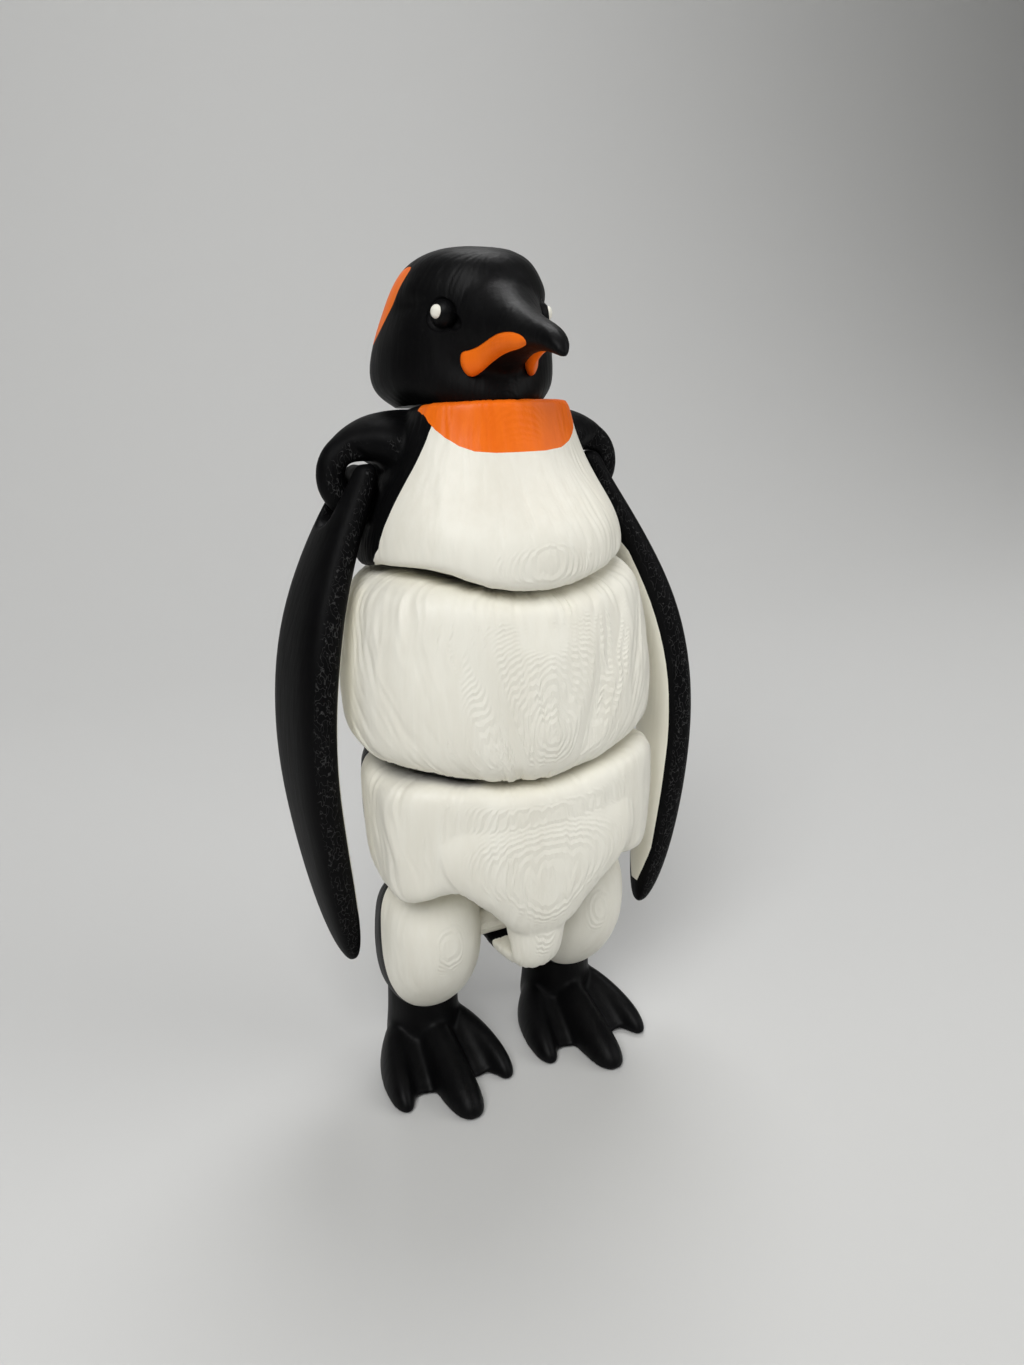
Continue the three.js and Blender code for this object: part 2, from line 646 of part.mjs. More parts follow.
// A point of a flipper's section: outward across the blade and back along its twisted chord.
function bladePoint(station, side, outward, behind) {
  const twist = BLADE_TWIST * THREE.MathUtils.smoothstep(station.drop, 0, TWIST_DROP);
  const middle = (station.trail + station.lead) / 2;
  return new THREE.Vector3(
    side * (RING_X + station.out + outward * Math.cos(twist) + behind * Math.sin(twist)),
    middle + behind * Math.cos(twist) - outward * Math.sin(twist),
    RING_Z - station.drop,
  );
}

function bladeRing(station, side, grow) {
  const halfChord = (station.trail - station.lead) / 2 + grow;
  const halfThick = station.thick / 2 + grow;
  return Array.from({ length: LIMB_SIDES }, (_, i) => {
    const angle = (2 * Math.PI * i) / LIMB_SIDES;
    const outward = halfThick * roundedPower(Math.cos(angle), BLADE_ROUNDNESS);
    const behind = halfChord * roundedPower(Math.sin(angle), BLADE_ROUNDNESS);
    return bladePoint(station, side, outward, behind);
  });
}

function bladeBody(side, grow) {
  return loft(BLADE.map((station) => bladeRing(station, side, grow)));
}

function ringCentre(side) {
  return new THREE.Vector3(side * RING_X, RING_Y, RING_Z);
}

// The neck stud: a seat in the chest, a stem and a flange that the head turns on
function studProfile(grow) {
  const foot = -STUD_SINK;
  const flange = NECK_GAP + STUD_RISE;
  const points = [
    [0, foot - grow],
    [STUD_FLANGE_RADIUS + grow, foot - grow],
    [STUD_FLANGE_RADIUS + grow, foot + STUD_FLANGE_TALL + grow],
    [STUD_RADIUS + grow, foot + STUD_FLANGE_TALL + grow],
    [STUD_RADIUS + grow, flange - grow],
    [STUD_FLANGE_RADIUS + grow, flange - grow],
    [STUD_FLANGE_RADIUS + grow, flange + STUD_FLANGE_TALL + grow],
    [0, flange + STUD_FLANGE_TALL + grow],
  ];
  const outline = points.map(([radius, z]) => new THREE.Vector2(radius, z));
  const geometry = new THREE.LatheGeometry(outline, ROUND_SIDES);
  geometry.rotateX(Math.PI / 2 - NECK_TILT);
  geometry.translate(0, NECK_Y, CHEST_TOP - neckDrop(NECK_Y));
  return bodyOf(geometry);
}

// The bib's outline seen from the front, drawn through the chest from front to back.
function bibPrism(grow) {
  const top = BIB_TOP_HALF_WIDTH + grow;
  const corner = BIB_CORNER_HALF_WIDTH + grow;
  const side = CHEST_TOP - BIB_SIDE_DROP;
  const turn = CHEST_TOP - BIB_CORNER_DROP - grow;
  const low = CHEST_TOP - BIB_DROP - grow;
  const shape = new THREE.Shape();
  shape.moveTo(-top, FAR);
  shape.lineTo(-top, side);
  shape.quadraticCurveTo(-top, turn, -corner, turn);
  shape.quadraticCurveTo(-corner / 2, low, 0, low);
  shape.quadraticCurveTo(corner / 2, low, corner, turn);
  shape.quadraticCurveTo(top, turn, top, side);
  shape.lineTo(top, FAR);
  const geometry = new THREE.ExtrudeGeometry(shape, { depth: FAR, bevelEnabled: false, curveSegments: 5 });
  geometry.rotateX(Math.PI / 2);
  geometry.translate(0, BIB_BACK_Y + grow, 0);
  return bodyOf(geometry);
}

// The yoke that carries a shoulder ring: it tapers from the base of the neck out to the ring's top.
function yokeBody(side) {
  const rings = YOKE.map((s) =>
    Array.from({ length: LIMB_SIDES }, (_, i) => {
      const angle = (2 * Math.PI * i) / LIMB_SIDES;
      return new THREE.Vector3(
        side * (RING_X - s.inward),
        RING_Y + s.behind + s.halfDeep * Math.cos(angle),
        RING_Z + RING_MAJOR + s.above + s.halfTall * Math.sin(angle),
      );
    }),
  );
  return loft(rings);
}

// Chest: white front, black back with the shoulder rings, orange bib
function chestPieces() {
  let whole = trunkPiece({
    foot: CHEST_FOOT,
    tall: CHEST_TALL,
    sections: CHEST_SECTIONS,
    fillets: CHEST_FILLETS,
    lowerRise: upperSeam,
    upperRise: (x, y) => -neckDrop(y),
  })
    .subtract(upperHinge.rootSocket)
    .subtract(studProfile(FIT));
  for (const side of [-1, 1]) whole = whole.subtract(bladeBody(side, ROOM));
  const { front, back } = splitColours(
    whole.subtract(bibPrism(FIT)),
    CHEST_FOOT,
    CHEST_COLOUR_LOW_Y,
    CHEST_TOP,
    CHEST_COLOUR_HIGH_Y,
  );
  let shoulders = back;
  for (const side of [-1, 1]) {
    const ring = new THREE.TorusGeometry(RING_MAJOR, RING_TUBE, TUBE_SIDES, ROUND_SIDES);
    ring.rotateX(Math.PI / 2);
    const centre = ringCentre(side);
    ring.translate(centre.x, centre.y, centre.z);
    const yoke = yokeBody(side).subtract(bladeBody(side, ROOM)).subtract(studProfile(FIT));
    shoulders = shoulders.add(bodyOf(ring)).add(yoke.subtract(bibPrism(FIT)));
  }
  return [
    meshOf("chest_front", front, WHITE),
    meshOf("chest_back", shoulders, BLACK),
    meshOf("throat_bib", whole.intersect(bibPrism(0)), ORANGE),
    meshOf("chest_tongue", upperHinge.tongue, BLACK),
    meshOf("neck_stud", studProfile(0), BLACK),
  ];
}

// A bill plate: a crescent swept along the lower bill.
function plateBody(side, grow) {
  const path = new THREE.CatmullRomCurve3(
    PLATE_PATH.map((p) => new THREE.Vector3(side * p.x, p.y, HEAD_FOOT + p.rise)),
  );
  const steps = 8;
  const rings = [];
  for (let s = 0; s <= steps; s += 1) {
    const t = s / steps;
    const along = path.getTangent(t);
    const out = new THREE.Vector3(0, 0, 1).cross(along).normalize();
    const up = new THREE.Vector3().crossVectors(along, out).normalize();
    const end = Math.max(PLATE_TIP, Math.sqrt(1 - (2 * t - 1) ** 6));
    const tall = THREE.MathUtils.lerp(PLATE_HALF_TALL.rear, PLATE_HALF_TALL.front, t) * end + grow;
    const thick = PLATE_HALF_THICK * end + grow;
    const centre = path.getPoint(t).addScaledVector(along, s === 0 ? -grow : s === steps ? grow : 0);
    rings.push(
      Array.from({ length: PLATE_SIDES }, (_, i) => {
        const angle = (2 * Math.PI * i) / PLATE_SIDES;
        return centre
          .clone()
          .addScaledVector(up, tall * Math.sin(angle))
          .addScaledVector(out, thick * Math.cos(angle));
      }),
    );
  }
  return loft(rings);
}

function patchPrism(side, grow) {
  const middle = PATCH_OUTLINE.reduce((sum, p) => sum + p.y, 0) / PATCH_OUTLINE.length;
  const heart = PATCH_OUTLINE.reduce((sum, p) => sum + p.rise, 0) / PATCH_OUTLINE.length;
  const outline = PATCH_OUTLINE.map((p) => {
    const away = new THREE.Vector2(p.y - middle, p.rise - heart);
    away.setLength(away.length() + grow);
    return new THREE.Vector2(middle + away.x, HEAD_FOOT + heart + away.y);
  });
  const curve = new THREE.SplineCurve([...outline, outline[0]]);
  const shape = new THREE.Shape(curve.getPoints(16).slice(0, -1));
  const geometry = new THREE.ExtrudeGeometry(shape, { depth: FAR, bevelEnabled: false });
  geometry.rotateX(Math.PI / 2);
  geometry.rotateZ(Math.PI / 2);
  if (side < 0) geometry.translate(-FAR, 0, 0);
  return bodyOf(geometry);
}

// The skull, or a smaller one that lies an inset inside it.
function headLoft(inset) {
  const rings = HEAD_SECTIONS.map((s) => {
    const section = {
      z: HEAD_FOOT + s.level * HEAD_TALL,
      halfWidth: Math.max(0.5, s.halfWidth - inset),
      front: Math.min(s.front + inset, s.widest - 1),
      back: Math.max(s.back - inset, s.widest + 1),
      widest: s.widest,
    };
    const ring = levelRing(section, HEAD_SIDES, HEAD_ROUNDNESS);
    ring.forEach((p) => {
      p.z -= (1 - s.level) * neckDrop(p.y);
    });
    return ring;
  });
  return loft(rings);
}

function billBody() {
  const rings = BILL_SECTIONS.map((s) => {
    const middle = HEAD_FOOT + (s.top + s.bottom) / 2;
    const halfTall = (s.top - s.bottom) / 2;
    return Array.from({ length: LIMB_SIDES }, (_, i) => {
      const angle = (2 * Math.PI * i) / LIMB_SIDES;
      return new THREE.Vector3(
        s.halfWidth * Math.cos(angle),
        -s.forward,
        middle + halfTall * Math.sin(angle),
      );
    });
  });
  return loft(rings);
}

// Head: skull and bill, with eyes, bill plates and ear patches let in
function headPieces() {
  let shell = headLoft(0).add(billBody());
  const pieces = [];
  for (const [name, side] of [["right", -1], ["left", 1]]) {
    const eyeAt = new THREE.Vector3(side * EYE_X, EYE_Y, HEAD_FOOT + EYE_RISE);
    const turn = side * EYE_TURN;
    const hollow = new THREE.Vector3(EYE_HOLLOW_HALF.across, EYE_HOLLOW_HALF.along, EYE_HOLLOW_HALF.up);
    const outward = new THREE.Vector3(side * Math.cos(EYE_TURN), -Math.sin(EYE_TURN), 0);
    const ball = eyeAt.clone().addScaledVector(outward, -EYE_BALL_SINK);
    const ballHalf = new THREE.Vector3(EYE_BALL_RADIUS, EYE_BALL_RADIUS, EYE_BALL_RADIUS);
    const spotAt = ball.clone().addScaledVector(outward, EYE_BALL_RADIUS + SPOT_PROUD - SPOT_DEEP);
    const spotHalf = (grow) =>
      new THREE.Vector3(SPOT_DEEP + grow, SPOT_HALF_WIDTH + grow, SPOT_HALF_TALL + grow);
    const spot = ellipsoidBody(spotAt, spotHalf(0), -turn);
    shell = shell
      .subtract(ellipsoidBody(eyeAt, hollow, -turn))
      .add(ellipsoidBody(ball, ballHalf))
      .subtract(ellipsoidBody(spotAt, spotHalf(FIT), -turn))
      .subtract(plateBody(side, FIT))
      .subtract(patchPrism(side, FIT).intersect(headLoft(-OVERCUT)).subtract(headLoft(PATCH_DEPTH + FIT)));
    const patch = headLoft(0).intersect(patchPrism(side, 0)).subtract(headLoft(PATCH_DEPTH));
    pieces.push(
      meshOf(`${name}_eye`, spot, WHITE),
      meshOf(`${name}_bill_plate`, plateBody(side, 0), ORANGE),
      meshOf(`${name}_ear_patch`, patch, ORANGE),
    );
  }
  pieces.unshift(meshOf("head_shell", shell.subtract(studProfile(PLAY)), BLACK));
  return pieces;
}

// Flipper: a bowed blade with a link eye at its root and a lining let into its inner face
function flipperPieces(name, side) {
  const slotHalf = RING_TUBE + SLOT_PLAY;
  const slotFoot = RING_Z - RING_MAJOR - RING_TUBE - SLOT_PLAY;
  const eye = boxBody(
    new THREE.Vector3(-FAR, RING_Y - slotHalf, slotFoot),
    new THREE.Vector3(FAR, RING_Y + slotHalf, FAR),
  );
  const barEnd = slotHalf + BAR_OVERLAP;
  const bar = barBody("y", BAR_RADIUS, RING_Y - barEnd, RING_Y + barEnd, ringCentre(side));
  const blade = bladeBody(side, 0).subtract(eye).add(bar);
  const lining = (grow) => {
    const from = LINING_FROM - grow;
    const to = LINING_TO + grow;
    const rings = [];
    for (let s = 0; s <= LINING_STEPS; s += 1) {
      const t = s / LINING_STEPS;
      const station = stationAt(BLADE, "drop", THREE.MathUtils.lerp(from, to, t));
      const halfChord = (station.trail - station.lead) / 2;
      const share = THREE.MathUtils.lerp(1, LINING_END, (2 * t - 1) ** 8);
      const front = (LINING_LEAD - halfChord) * share - grow;
      const back = (halfChord - LINING_TRAIL) * share + grow;
      const near = LINING_DEPTH - station.thick / 2 + grow;
      const past = -station.thick;
      rings.push([
        bladePoint(station, side, past, front),
        bladePoint(station, side, near, front),
        bladePoint(station, side, near, back),
        bladePoint(station, side, past, back),
      ]);
    }
    return loft(rings);
  };
  return [
    meshOf(`${name}_flipper`, blade.subtract(lining(FIT)), BLACK),
    meshOf(`${name}_flipper_lining`, bladeBody(side, 0).intersect(lining(0)), WHITE),
  ];
}

// One toe: a ridge on the ground that follows its stations from the ankle to the tip.
function toeBody(stations, side) {
  const place = (s) =>
    new THREE.Vector3(side * SHANK_X + s.across, SHANK_Y - s.forward, 0);
  const rings = stations.map((s, i) => {
    const ahead = place(stations[Math.min(i + 1, stations.length - 1)]);
    const along = ahead.sub(place(stations[Math.max(i - 1, 0)])).normalize();
    const right = new THREE.Vector3(-along.y, along.x, 0);
    return Array.from({ length: TOE_SIDES }, (_, k) => {
      const angle = (Math.PI * k) / (TOE_SIDES - 1);
      const point = place(s).addScaledVector(right, s.halfWidth * Math.cos(angle));
      point.z = s.tall * Math.sin(angle);
      return point;
    });
  });
  return loft(rings);
}

// The web between the toes: a wedge, thick at the ankle, with a notch on each side of the middle toe.
function webBody(side) {
  const shape = new THREE.Shape();
  const notchAt = WEB_HALF_WIDTH / 2;
  const notchFrom = WEB_FORWARD + WEB_NOTCH_RADIUS;
  shape.moveTo(WEB_HEEL_CUT - WEB_HALF_WIDTH, 0);
  shape.lineTo(-WEB_HALF_WIDTH, WEB_FORWARD / 2);
  shape.lineTo(-WEB_HALF_WIDTH, notchFrom);
  shape.absarc(-notchAt, notchFrom, WEB_NOTCH_RADIUS, Math.PI, 0, false);
  shape.absarc(notchAt, notchFrom, WEB_NOTCH_RADIUS, Math.PI, 0, false);
  shape.lineTo(WEB_HALF_WIDTH, notchFrom);
  shape.lineTo(WEB_HALF_WIDTH, WEB_FORWARD / 2);
  shape.lineTo(WEB_HALF_WIDTH - WEB_HEEL_CUT, 0);
  const geometry = new THREE.ExtrudeGeometry(shape, {
    depth: WEB_BACK_TALL,
    bevelEnabled: false,
    curveSegments: 6,
  });
  geometry.rotateX(Math.PI);
  geometry.translate(side * SHANK_X, SHANK_Y, WEB_BACK_TALL);
  const wedgeRing = (x) => [
    new THREE.Vector3(x, SHANK_Y + OVERCUT, 0),
    new THREE.Vector3(x, SHANK_Y + OVERCUT, WEB_BACK_TALL),
    new THREE.Vector3(x, SHANK_Y - WEB_FORWARD - WEB_NOTCH_RADIUS, WEB_FRONT_TALL),
    new THREE.Vector3(x, SHANK_Y - WEB_FORWARD - WEB_NOTCH_RADIUS, 0),
  ];
  return bodyOf(geometry).intersect(loft([wedgeRing(-FAR), wedgeRing(FAR)]));
}

// Leg: white front of the thigh; black back of the thigh, shank and foot in one body; the axle
function legPieces(name, side) {
  const thighTall = THIGH_TOP - THIGH_FOOT;
  const thigh = loft(
    THIGH_SECTIONS.map((s) =>
      levelRing(
        {
          x: side * THIGH_X,
          z: THIGH_FOOT + s.level * thighTall,
          halfWidth: THIGH_HALF_WIDTH * s.width,
          front: s.front,
          back: s.back,
          widest: (s.front + s.back) / 2,
        },
        LIMB_SIDES,
      ),
    ),
  );
  const upright = (radius, tall) => {
    const geometry = new THREE.CylinderGeometry(radius, radius, tall, ROUND_SIDES);
    geometry.rotateX(Math.PI / 2);
    geometry.translate(side * SHANK_X, SHANK_Y, tall / 2);
    return bodyOf(geometry);
  };
  const heel = ellipsoidBody(
    new THREE.Vector3(side * SHANK_X, SHANK_Y, 0),
    new THREE.Vector3(HEEL_RADIUS, HEEL_RADIUS, HEEL_TALL),
  );
  const ground = boxBody(new THREE.Vector3(-FAR, -FAR, -FAR), new THREE.Vector3(FAR, FAR, 0));
  const mirrored = SIDE_TOE.map((s) => ({ ...s, across: -s.across }));
  const foot = toeBody(MIDDLE_TOE, side)
    .add(toeBody(SIDE_TOE, side))
    .add(toeBody(mirrored, side))
    .add(webBody(side))
    .add(heel.subtract(ground));
  const seat = THIGH_X - THIGH_HALF_WIDTH + AXLE_SEAT_DEPTH;
  const axle = (grow) => {
    const [from, to] = [AXLE_INNER_X, seat + grow];
    const at = new THREE.Vector3((side * (from + to)) / 2, AXLE_Y, AXLE_Z);
    return barBody("x", AXLE_RADIUS + grow, from, to, at);
  };
  const { front, back } = splitColours(
    thigh.subtract(axle(FIT)),
    THIGH_FOOT,
    THIGH_COLOUR_LOW_Y,
    THIGH_TOP,
    THIGH_COLOUR_HIGH_Y,
  );
  return [
    meshOf(`${name}_thigh_front`, front.subtract(upright(SHANK_RADIUS + FIT, SHANK_TOP + FIT)), WHITE),
    meshOf(`${name}_leg`, back.add(upright(SHANK_RADIUS, SHANK_TOP)).add(foot), BLACK),
    meshOf(`${name}_hip_axle`, axle(0), WHITE),
  ];
}

// The figure: hips with the legs, then belly, chest, head and the hanging flippers
const figure = new THREE.Group();
const chest = new THREE.Group();
chest.add(...chestPieces(), ...headPieces());
figure.add(...hipsPieces(), ...bellyPieces(), chest);
for (const [name, side, hang] of [["right", -1, RIGHT_HANG], ["left", 1, LEFT_HANG]]) {
  const flipper = turnedAbout(ringCentre(side), -hang.swing, -side * hang.spread);
  flipper.add(...flipperPieces(name, side));
  chest.add(flipper);
  figure.add(...legPieces(name, side));
}

// The origin is on the ground, under the middle of the figure's box.
figure.updateMatrixWorld(true);
const middle = new THREE.Box3().setFromObject(figure, true).getCenter(new THREE.Vector3());
figure.position.set(-middle.x, -middle.y, 0);

export default figure;
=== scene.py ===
import json
import math

import bmesh
import bpy
from mathutils import Matrix, Vector, noise


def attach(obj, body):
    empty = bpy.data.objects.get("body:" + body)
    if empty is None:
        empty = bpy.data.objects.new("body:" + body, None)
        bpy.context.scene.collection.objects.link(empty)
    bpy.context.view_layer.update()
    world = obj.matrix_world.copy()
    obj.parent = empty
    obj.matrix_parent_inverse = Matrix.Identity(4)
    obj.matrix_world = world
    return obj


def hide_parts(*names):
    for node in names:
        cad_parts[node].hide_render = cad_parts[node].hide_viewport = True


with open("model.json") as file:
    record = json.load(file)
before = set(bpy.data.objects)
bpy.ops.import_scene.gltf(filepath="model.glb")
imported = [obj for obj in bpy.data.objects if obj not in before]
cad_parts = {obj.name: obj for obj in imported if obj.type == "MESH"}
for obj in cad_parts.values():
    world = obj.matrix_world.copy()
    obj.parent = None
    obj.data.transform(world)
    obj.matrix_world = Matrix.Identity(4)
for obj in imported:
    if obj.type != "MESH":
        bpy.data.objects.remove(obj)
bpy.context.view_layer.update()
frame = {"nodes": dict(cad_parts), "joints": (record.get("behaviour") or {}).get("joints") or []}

# Hips. The lowest block of the trunk: a white front and a black back printed as one flush skin,
# with a keel that hangs between the thighs, a soft apron in front of it and a stub tail behind.
# The keel is slotted right through for the two hip axles, and the top is pocketed for a waist tongue.
joint_at = {joint["name"]: Vector(joint["pos_m"]) for joint in frame["joints"]}
LOWER_PIN_Z = 74.4
HINGE_Y = 4.0
middle = joint_at["lower_waist"] - Vector((0, HINGE_Y, LOWER_PIN_Z)) / 1000


def at(x, y, z):
    """A place in the figure's own millimetres, with x from its middle line, as a point of the frame."""
    return Vector((middle.x + x / 1000, middle.y + y / 1000, z / 1000))


def between(stations, place):
    """Values at one place along a list of stations, on a smooth curve through them."""
    last = len(stations) - 1
    i = 0
    while i < last - 1 and place > stations[i + 1][0]:
        i += 1
    a, b = stations[i], stations[i + 1]
    before, after = stations[max(0, i - 1)], stations[min(last, i + 2)]
    span = b[0] - a[0]
    t = (place - a[0]) / span
    values = []
    for p, q, r, s in zip(before[1:], a[1:], b[1:], after[1:]):
        start = (r - p) / (b[0] - before[0]) * span
        end = (s - q) / (after[0] - a[0]) * span
        rise = r - q
        curve = 3 * rise - 2 * start - end + t * (start + end - 2 * rise)
        values.append(q + t * (start + t * curve))
    return values


def bulge(value, roundness):
    return math.copysign(abs(value) ** (2 / roundness), value)


def around(sides):
    return [2 * math.pi * i / sides for i in range(sides)]


def level_ring(z, half_width, front, back, widest, sides, x=0.0, roundness=(2.25, 2.6)):
    """A level outline, round in front and a little squarer behind."""
    ring = []
    for angle in around(sides):
        behind = math.sin(angle) > 0
        power = roundness[behind]
        depth = back - widest if behind else widest - front
        across = x + half_width * bulge(math.cos(angle), power)
        ring.append(at(across, widest + depth * bulge(math.sin(angle), power), z))
    return ring


def only(piece):
    bpy.ops.object.select_all(action="DESELECT")
    piece.select_set(True)
    bpy.context.view_layer.objects.active = piece


def modified(piece, kind, **settings):
    """Adds a modifier with these settings and applies it."""
    only(piece)
    step = piece.modifiers.new(kind.title(), kind)
    for key, value in settings.items():
        setattr(step, key, value)
    bpy.ops.object.modifier_apply(modifier=step.name)
    return piece


def ringed(name, rings, levels):
    """A closed form drawn out ring by ring from a flat disc, then rounded by subdivision."""
    bpy.ops.object.select_all(action="DESELECT")
    bpy.ops.mesh.primitive_circle_add(vertices=len(rings[0]), fill_type="NGON")
    piece = bpy.context.object
    piece.name = name
    bpy.ops.object.mode_set(mode="EDIT")
    for index, ring in enumerate(rings):
        if index:
            bpy.ops.mesh.extrude_region_move()
        mesh = bmesh.from_edit_mesh(piece.data)
        disc = next(face for face in mesh.faces if face.select)
        for number, vertex in enumerate(disc.verts):
            if index:
                last = rings[index - 1]
                number = min(range(len(last)), key=lambda k: (last[k] - vertex.co).length)
            vertex.co = ring[number]
        bmesh.update_edit_mesh(piece.data)
    bpy.ops.mesh.select_all(action="SELECT")
    bpy.ops.mesh.normals_make_consistent(inside=False)
    bpy.ops.object.mode_set(mode="OBJECT")
    if levels:
        modified(piece, "SUBSURF", levels=levels, render_levels=levels)
    return piece


def joined(first, *others):
    bpy.ops.object.select_all(action="DESELECT")
    for piece in (first, *others):
        piece.select_set(True)
    bpy.context.view_layer.objects.active = first
    bpy.ops.object.join()
    return first


def fused(piece, grain, rounds):
    """Melts the forms of a piece into one printed skin, with its creases softened."""
    modified(piece, "REMESH", mode="VOXEL", voxel_size=grain / 1000, use_smooth_shade=True)
    return modified(piece, "SMOOTH", factor=0.5, iterations=rounds)


def removed(tool):
    only(tool)
    bpy.ops.object.delete()


def cut(piece, tool, operation="DIFFERENCE", keep=False):
    modified(piece, "BOOLEAN", operation=operation, object=tool, solver="EXACT")
    if not keep:
        removed(tool)
    return piece


def twin(piece, name):
    only(piece)
    bpy.ops.object.duplicate()
    copy = bpy.context.object
    copy.name = name
    return copy


def smooth_skin(piece):
    only(piece)
    bpy.ops.object.shade_smooth_by_angle(angle=math.radians(40))
    return piece


def own(place):
    """A point of the frame back in the figure's own millimetres."""
    return (place.x - middle.x) * 1000, (place.y - middle.y) * 1000, place.z * 1000


def pressed(piece, depth_at):
    """Moves each point of a skin along its normal by the depth in millimetres given for its place."""
    points = piece.data.vertices
    moves = [point.normal * (depth_at(*own(point.co), point.normal.y) / 1000) for point in points]
    for point, move in zip(points, moves):
        point.co += move
    piece.data.update()
    return piece


def eased(value, low, high):
    """0 below low, 1 above high, smooth between."""
    t = min(1, max(0, (value - low) / (high - low)))
    return t * t * (3 - 2 * t)


def mound(value, centre, spread):
    """1 at the centre, falling away softly on both sides."""
    return math.exp(-(((value - centre) / spread) ** 2))


TRUNK_AXIS_Y, TRUNK_RADIUS = 2, 34


def strokes(x, y, z, foot, tall, gather):
    """Long feather strokes down a block, drawn together towards the middle of its foot."""
    turn = math.atan2(x, TRUNK_AXIS_Y - y)
    fan = 1 - gather * (1 - min(1, max(0, (z - foot) / tall))) ** 1.5
    across = TRUNK_RADIUS * turn / fan + 1.6 * noise.noise(Vector((x / 8, y / 8, z / 8)))
    broad = noise.noise(Vector((across / 4.6, z / 19, 3)))
    fine = noise.noise(Vector((across / 2.5, z / 12, 40)))
    patchy = max(0.1, 0.75 + 0.8 * noise.noise(Vector((x / 14, y / 14, z / 14 + 9))))
    height = 0.55 * broad + 0.4 * (0.6 - 3 * math.hypot(fine, 0.08))
    return height * patchy * (1 - eased(abs(turn), 2.7, 3.1))


def calm(ny):
    """How much of the strokes is left where a skin turns to face straight forwards."""
    return 1 - 0.6 * eased(-ny, 0.86, 0.98)


TRUNK_SIDES = 64
SEAM_RISE, LOWER_SEAM_SPAN = 5.5, 39
HIPS_FOOT, HIPS_TALL = 57.0, 26.4
# level up the block, half width, front, back, place of the widest line
HIPS_SECTIONS = [
    (0.0, 34.6, -25.2, 30.0, -12.5),
    (0.5, 35.6, -26.0, 31.0, -12.0),
    (1.0, 35.8, -25.8, 31.5, -11.0),
]


def trunk_block(name, foot, tall, sections, lower_edge, upper_edge, lower_rise, upper_rise):
    """A block of the trunk with rounded edges, bent to the curved seams under and over it."""
    rings = []

    def add(height, inset, share):
        level = height / tall
        half_width, front, back, widest = between(sections, level)
        ring = level_ring(
            foot + height,
            (half_width - inset) * share,
            widest + (front + inset - widest) * share,
            widest + (back - inset - widest) * share,
            widest,
            TRUNK_SIDES,
        )
        for place in ring:
            x, y, _ = own(place)
            place.z += ((1 - level) * lower_rise(x, y) + level * upper_rise(x, y)) / 1000
        rings.append(ring)

    quarter = [0, math.pi / 6, math.pi / 3]
    for share in (0.4, 0.75):
        add(0, lower_edge, share)
    for angle in quarter:
        add(lower_edge * (1 - math.cos(angle)), lower_edge * (1 - math.sin(angle)), 1)
    wall = tall - lower_edge - upper_edge
    for step in range(6):
        add(lower_edge + wall * step / 5, 0, 1)
    for angle in reversed(quarter):
        add(tall - upper_edge * (1 - math.cos(angle)), upper_edge * (1 - math.sin(angle)), 1)
    for share in (0.75, 0.4):
        add(tall, upper_edge, share)
    return ringed(name, rings, 3)


def seam(x, span):
    """The rise of a curved seam from the middle line out to its span."""
    return SEAM_RISE * math.sin(math.pi / 2 * min(1, abs(x) / span)) ** 2


def lower_seam(x, y):
    return seam(x, LOWER_SEAM_SPAN)


def hips_top(x, y):
    """The seam under the belly, which gapes a little at the figure's right end."""
    return lower_seam(x, y) - 1.8 * eased(-x, 24, 34)


def thigh_arches(x, y):
    """The skirt's lower edge, arched over each thigh and turned down at the sides."""
    return 2.0 * mound(abs(x), 21, 7) - 1.3 * eased(abs(x), 25, 32)


def slab(name, outline, low, high, axis):
    """A flat outline drawn straight through from one place to another along X or Y."""
    if axis == "x":
        rings = [[at(place, a, b) for a, b in outline] for place in (low, high)]
    else:
        rings = [[at(a, place, b) for a, b in outline] for place in (low, high)]
    return ringed(name, rings, 0)


POCKET_RADIUS, POCKET_HALF_DEPTH = 7.3, 4.9


def tongue_pocket(name, pin_z, top):
    """Room for a waist tongue, round under its pin and open at the top."""
    outline = []
    for step in range(13):
        angle = math.pi + math.pi * step / 12
        outline.append((POCKET_RADIUS * math.cos(angle), pin_z + POCKET_RADIUS * math.sin(angle)))
    outline += [(POCKET_RADIUS, top), (-POCKET_RADIUS, top)]
    return slab(name, outline, HINGE_Y - POCKET_HALF_DEPTH, HINGE_Y + POCKET_HALF_DEPTH, "y")


hips = trunk_block(
    "hips",
    HIPS_FOOT,
    HIPS_TALL,
    HIPS_SECTIONS,
    lower_edge=4.8,
    upper_edge=4,
    lower_rise=thigh_arches,
    upper_rise=hips_top,
)
KEEL_WIDEST = -6
# height, half width, front, back
KEEL = [
    (32.6, 4.8, -19.0, 5.0),
    (33.6, 6.4, -21.4, 8.0),
    (36.4, 7.2, -23.4, 10.0),
    (44.6, 7.3, -25.2, 13.0),
    (52.6, 7.4, -25.8, 16.0),
    (63.0, 11.0, -23.0, 18.0),
]
PROW_WIDEST, PROW_BACK = -19.6, -16.6
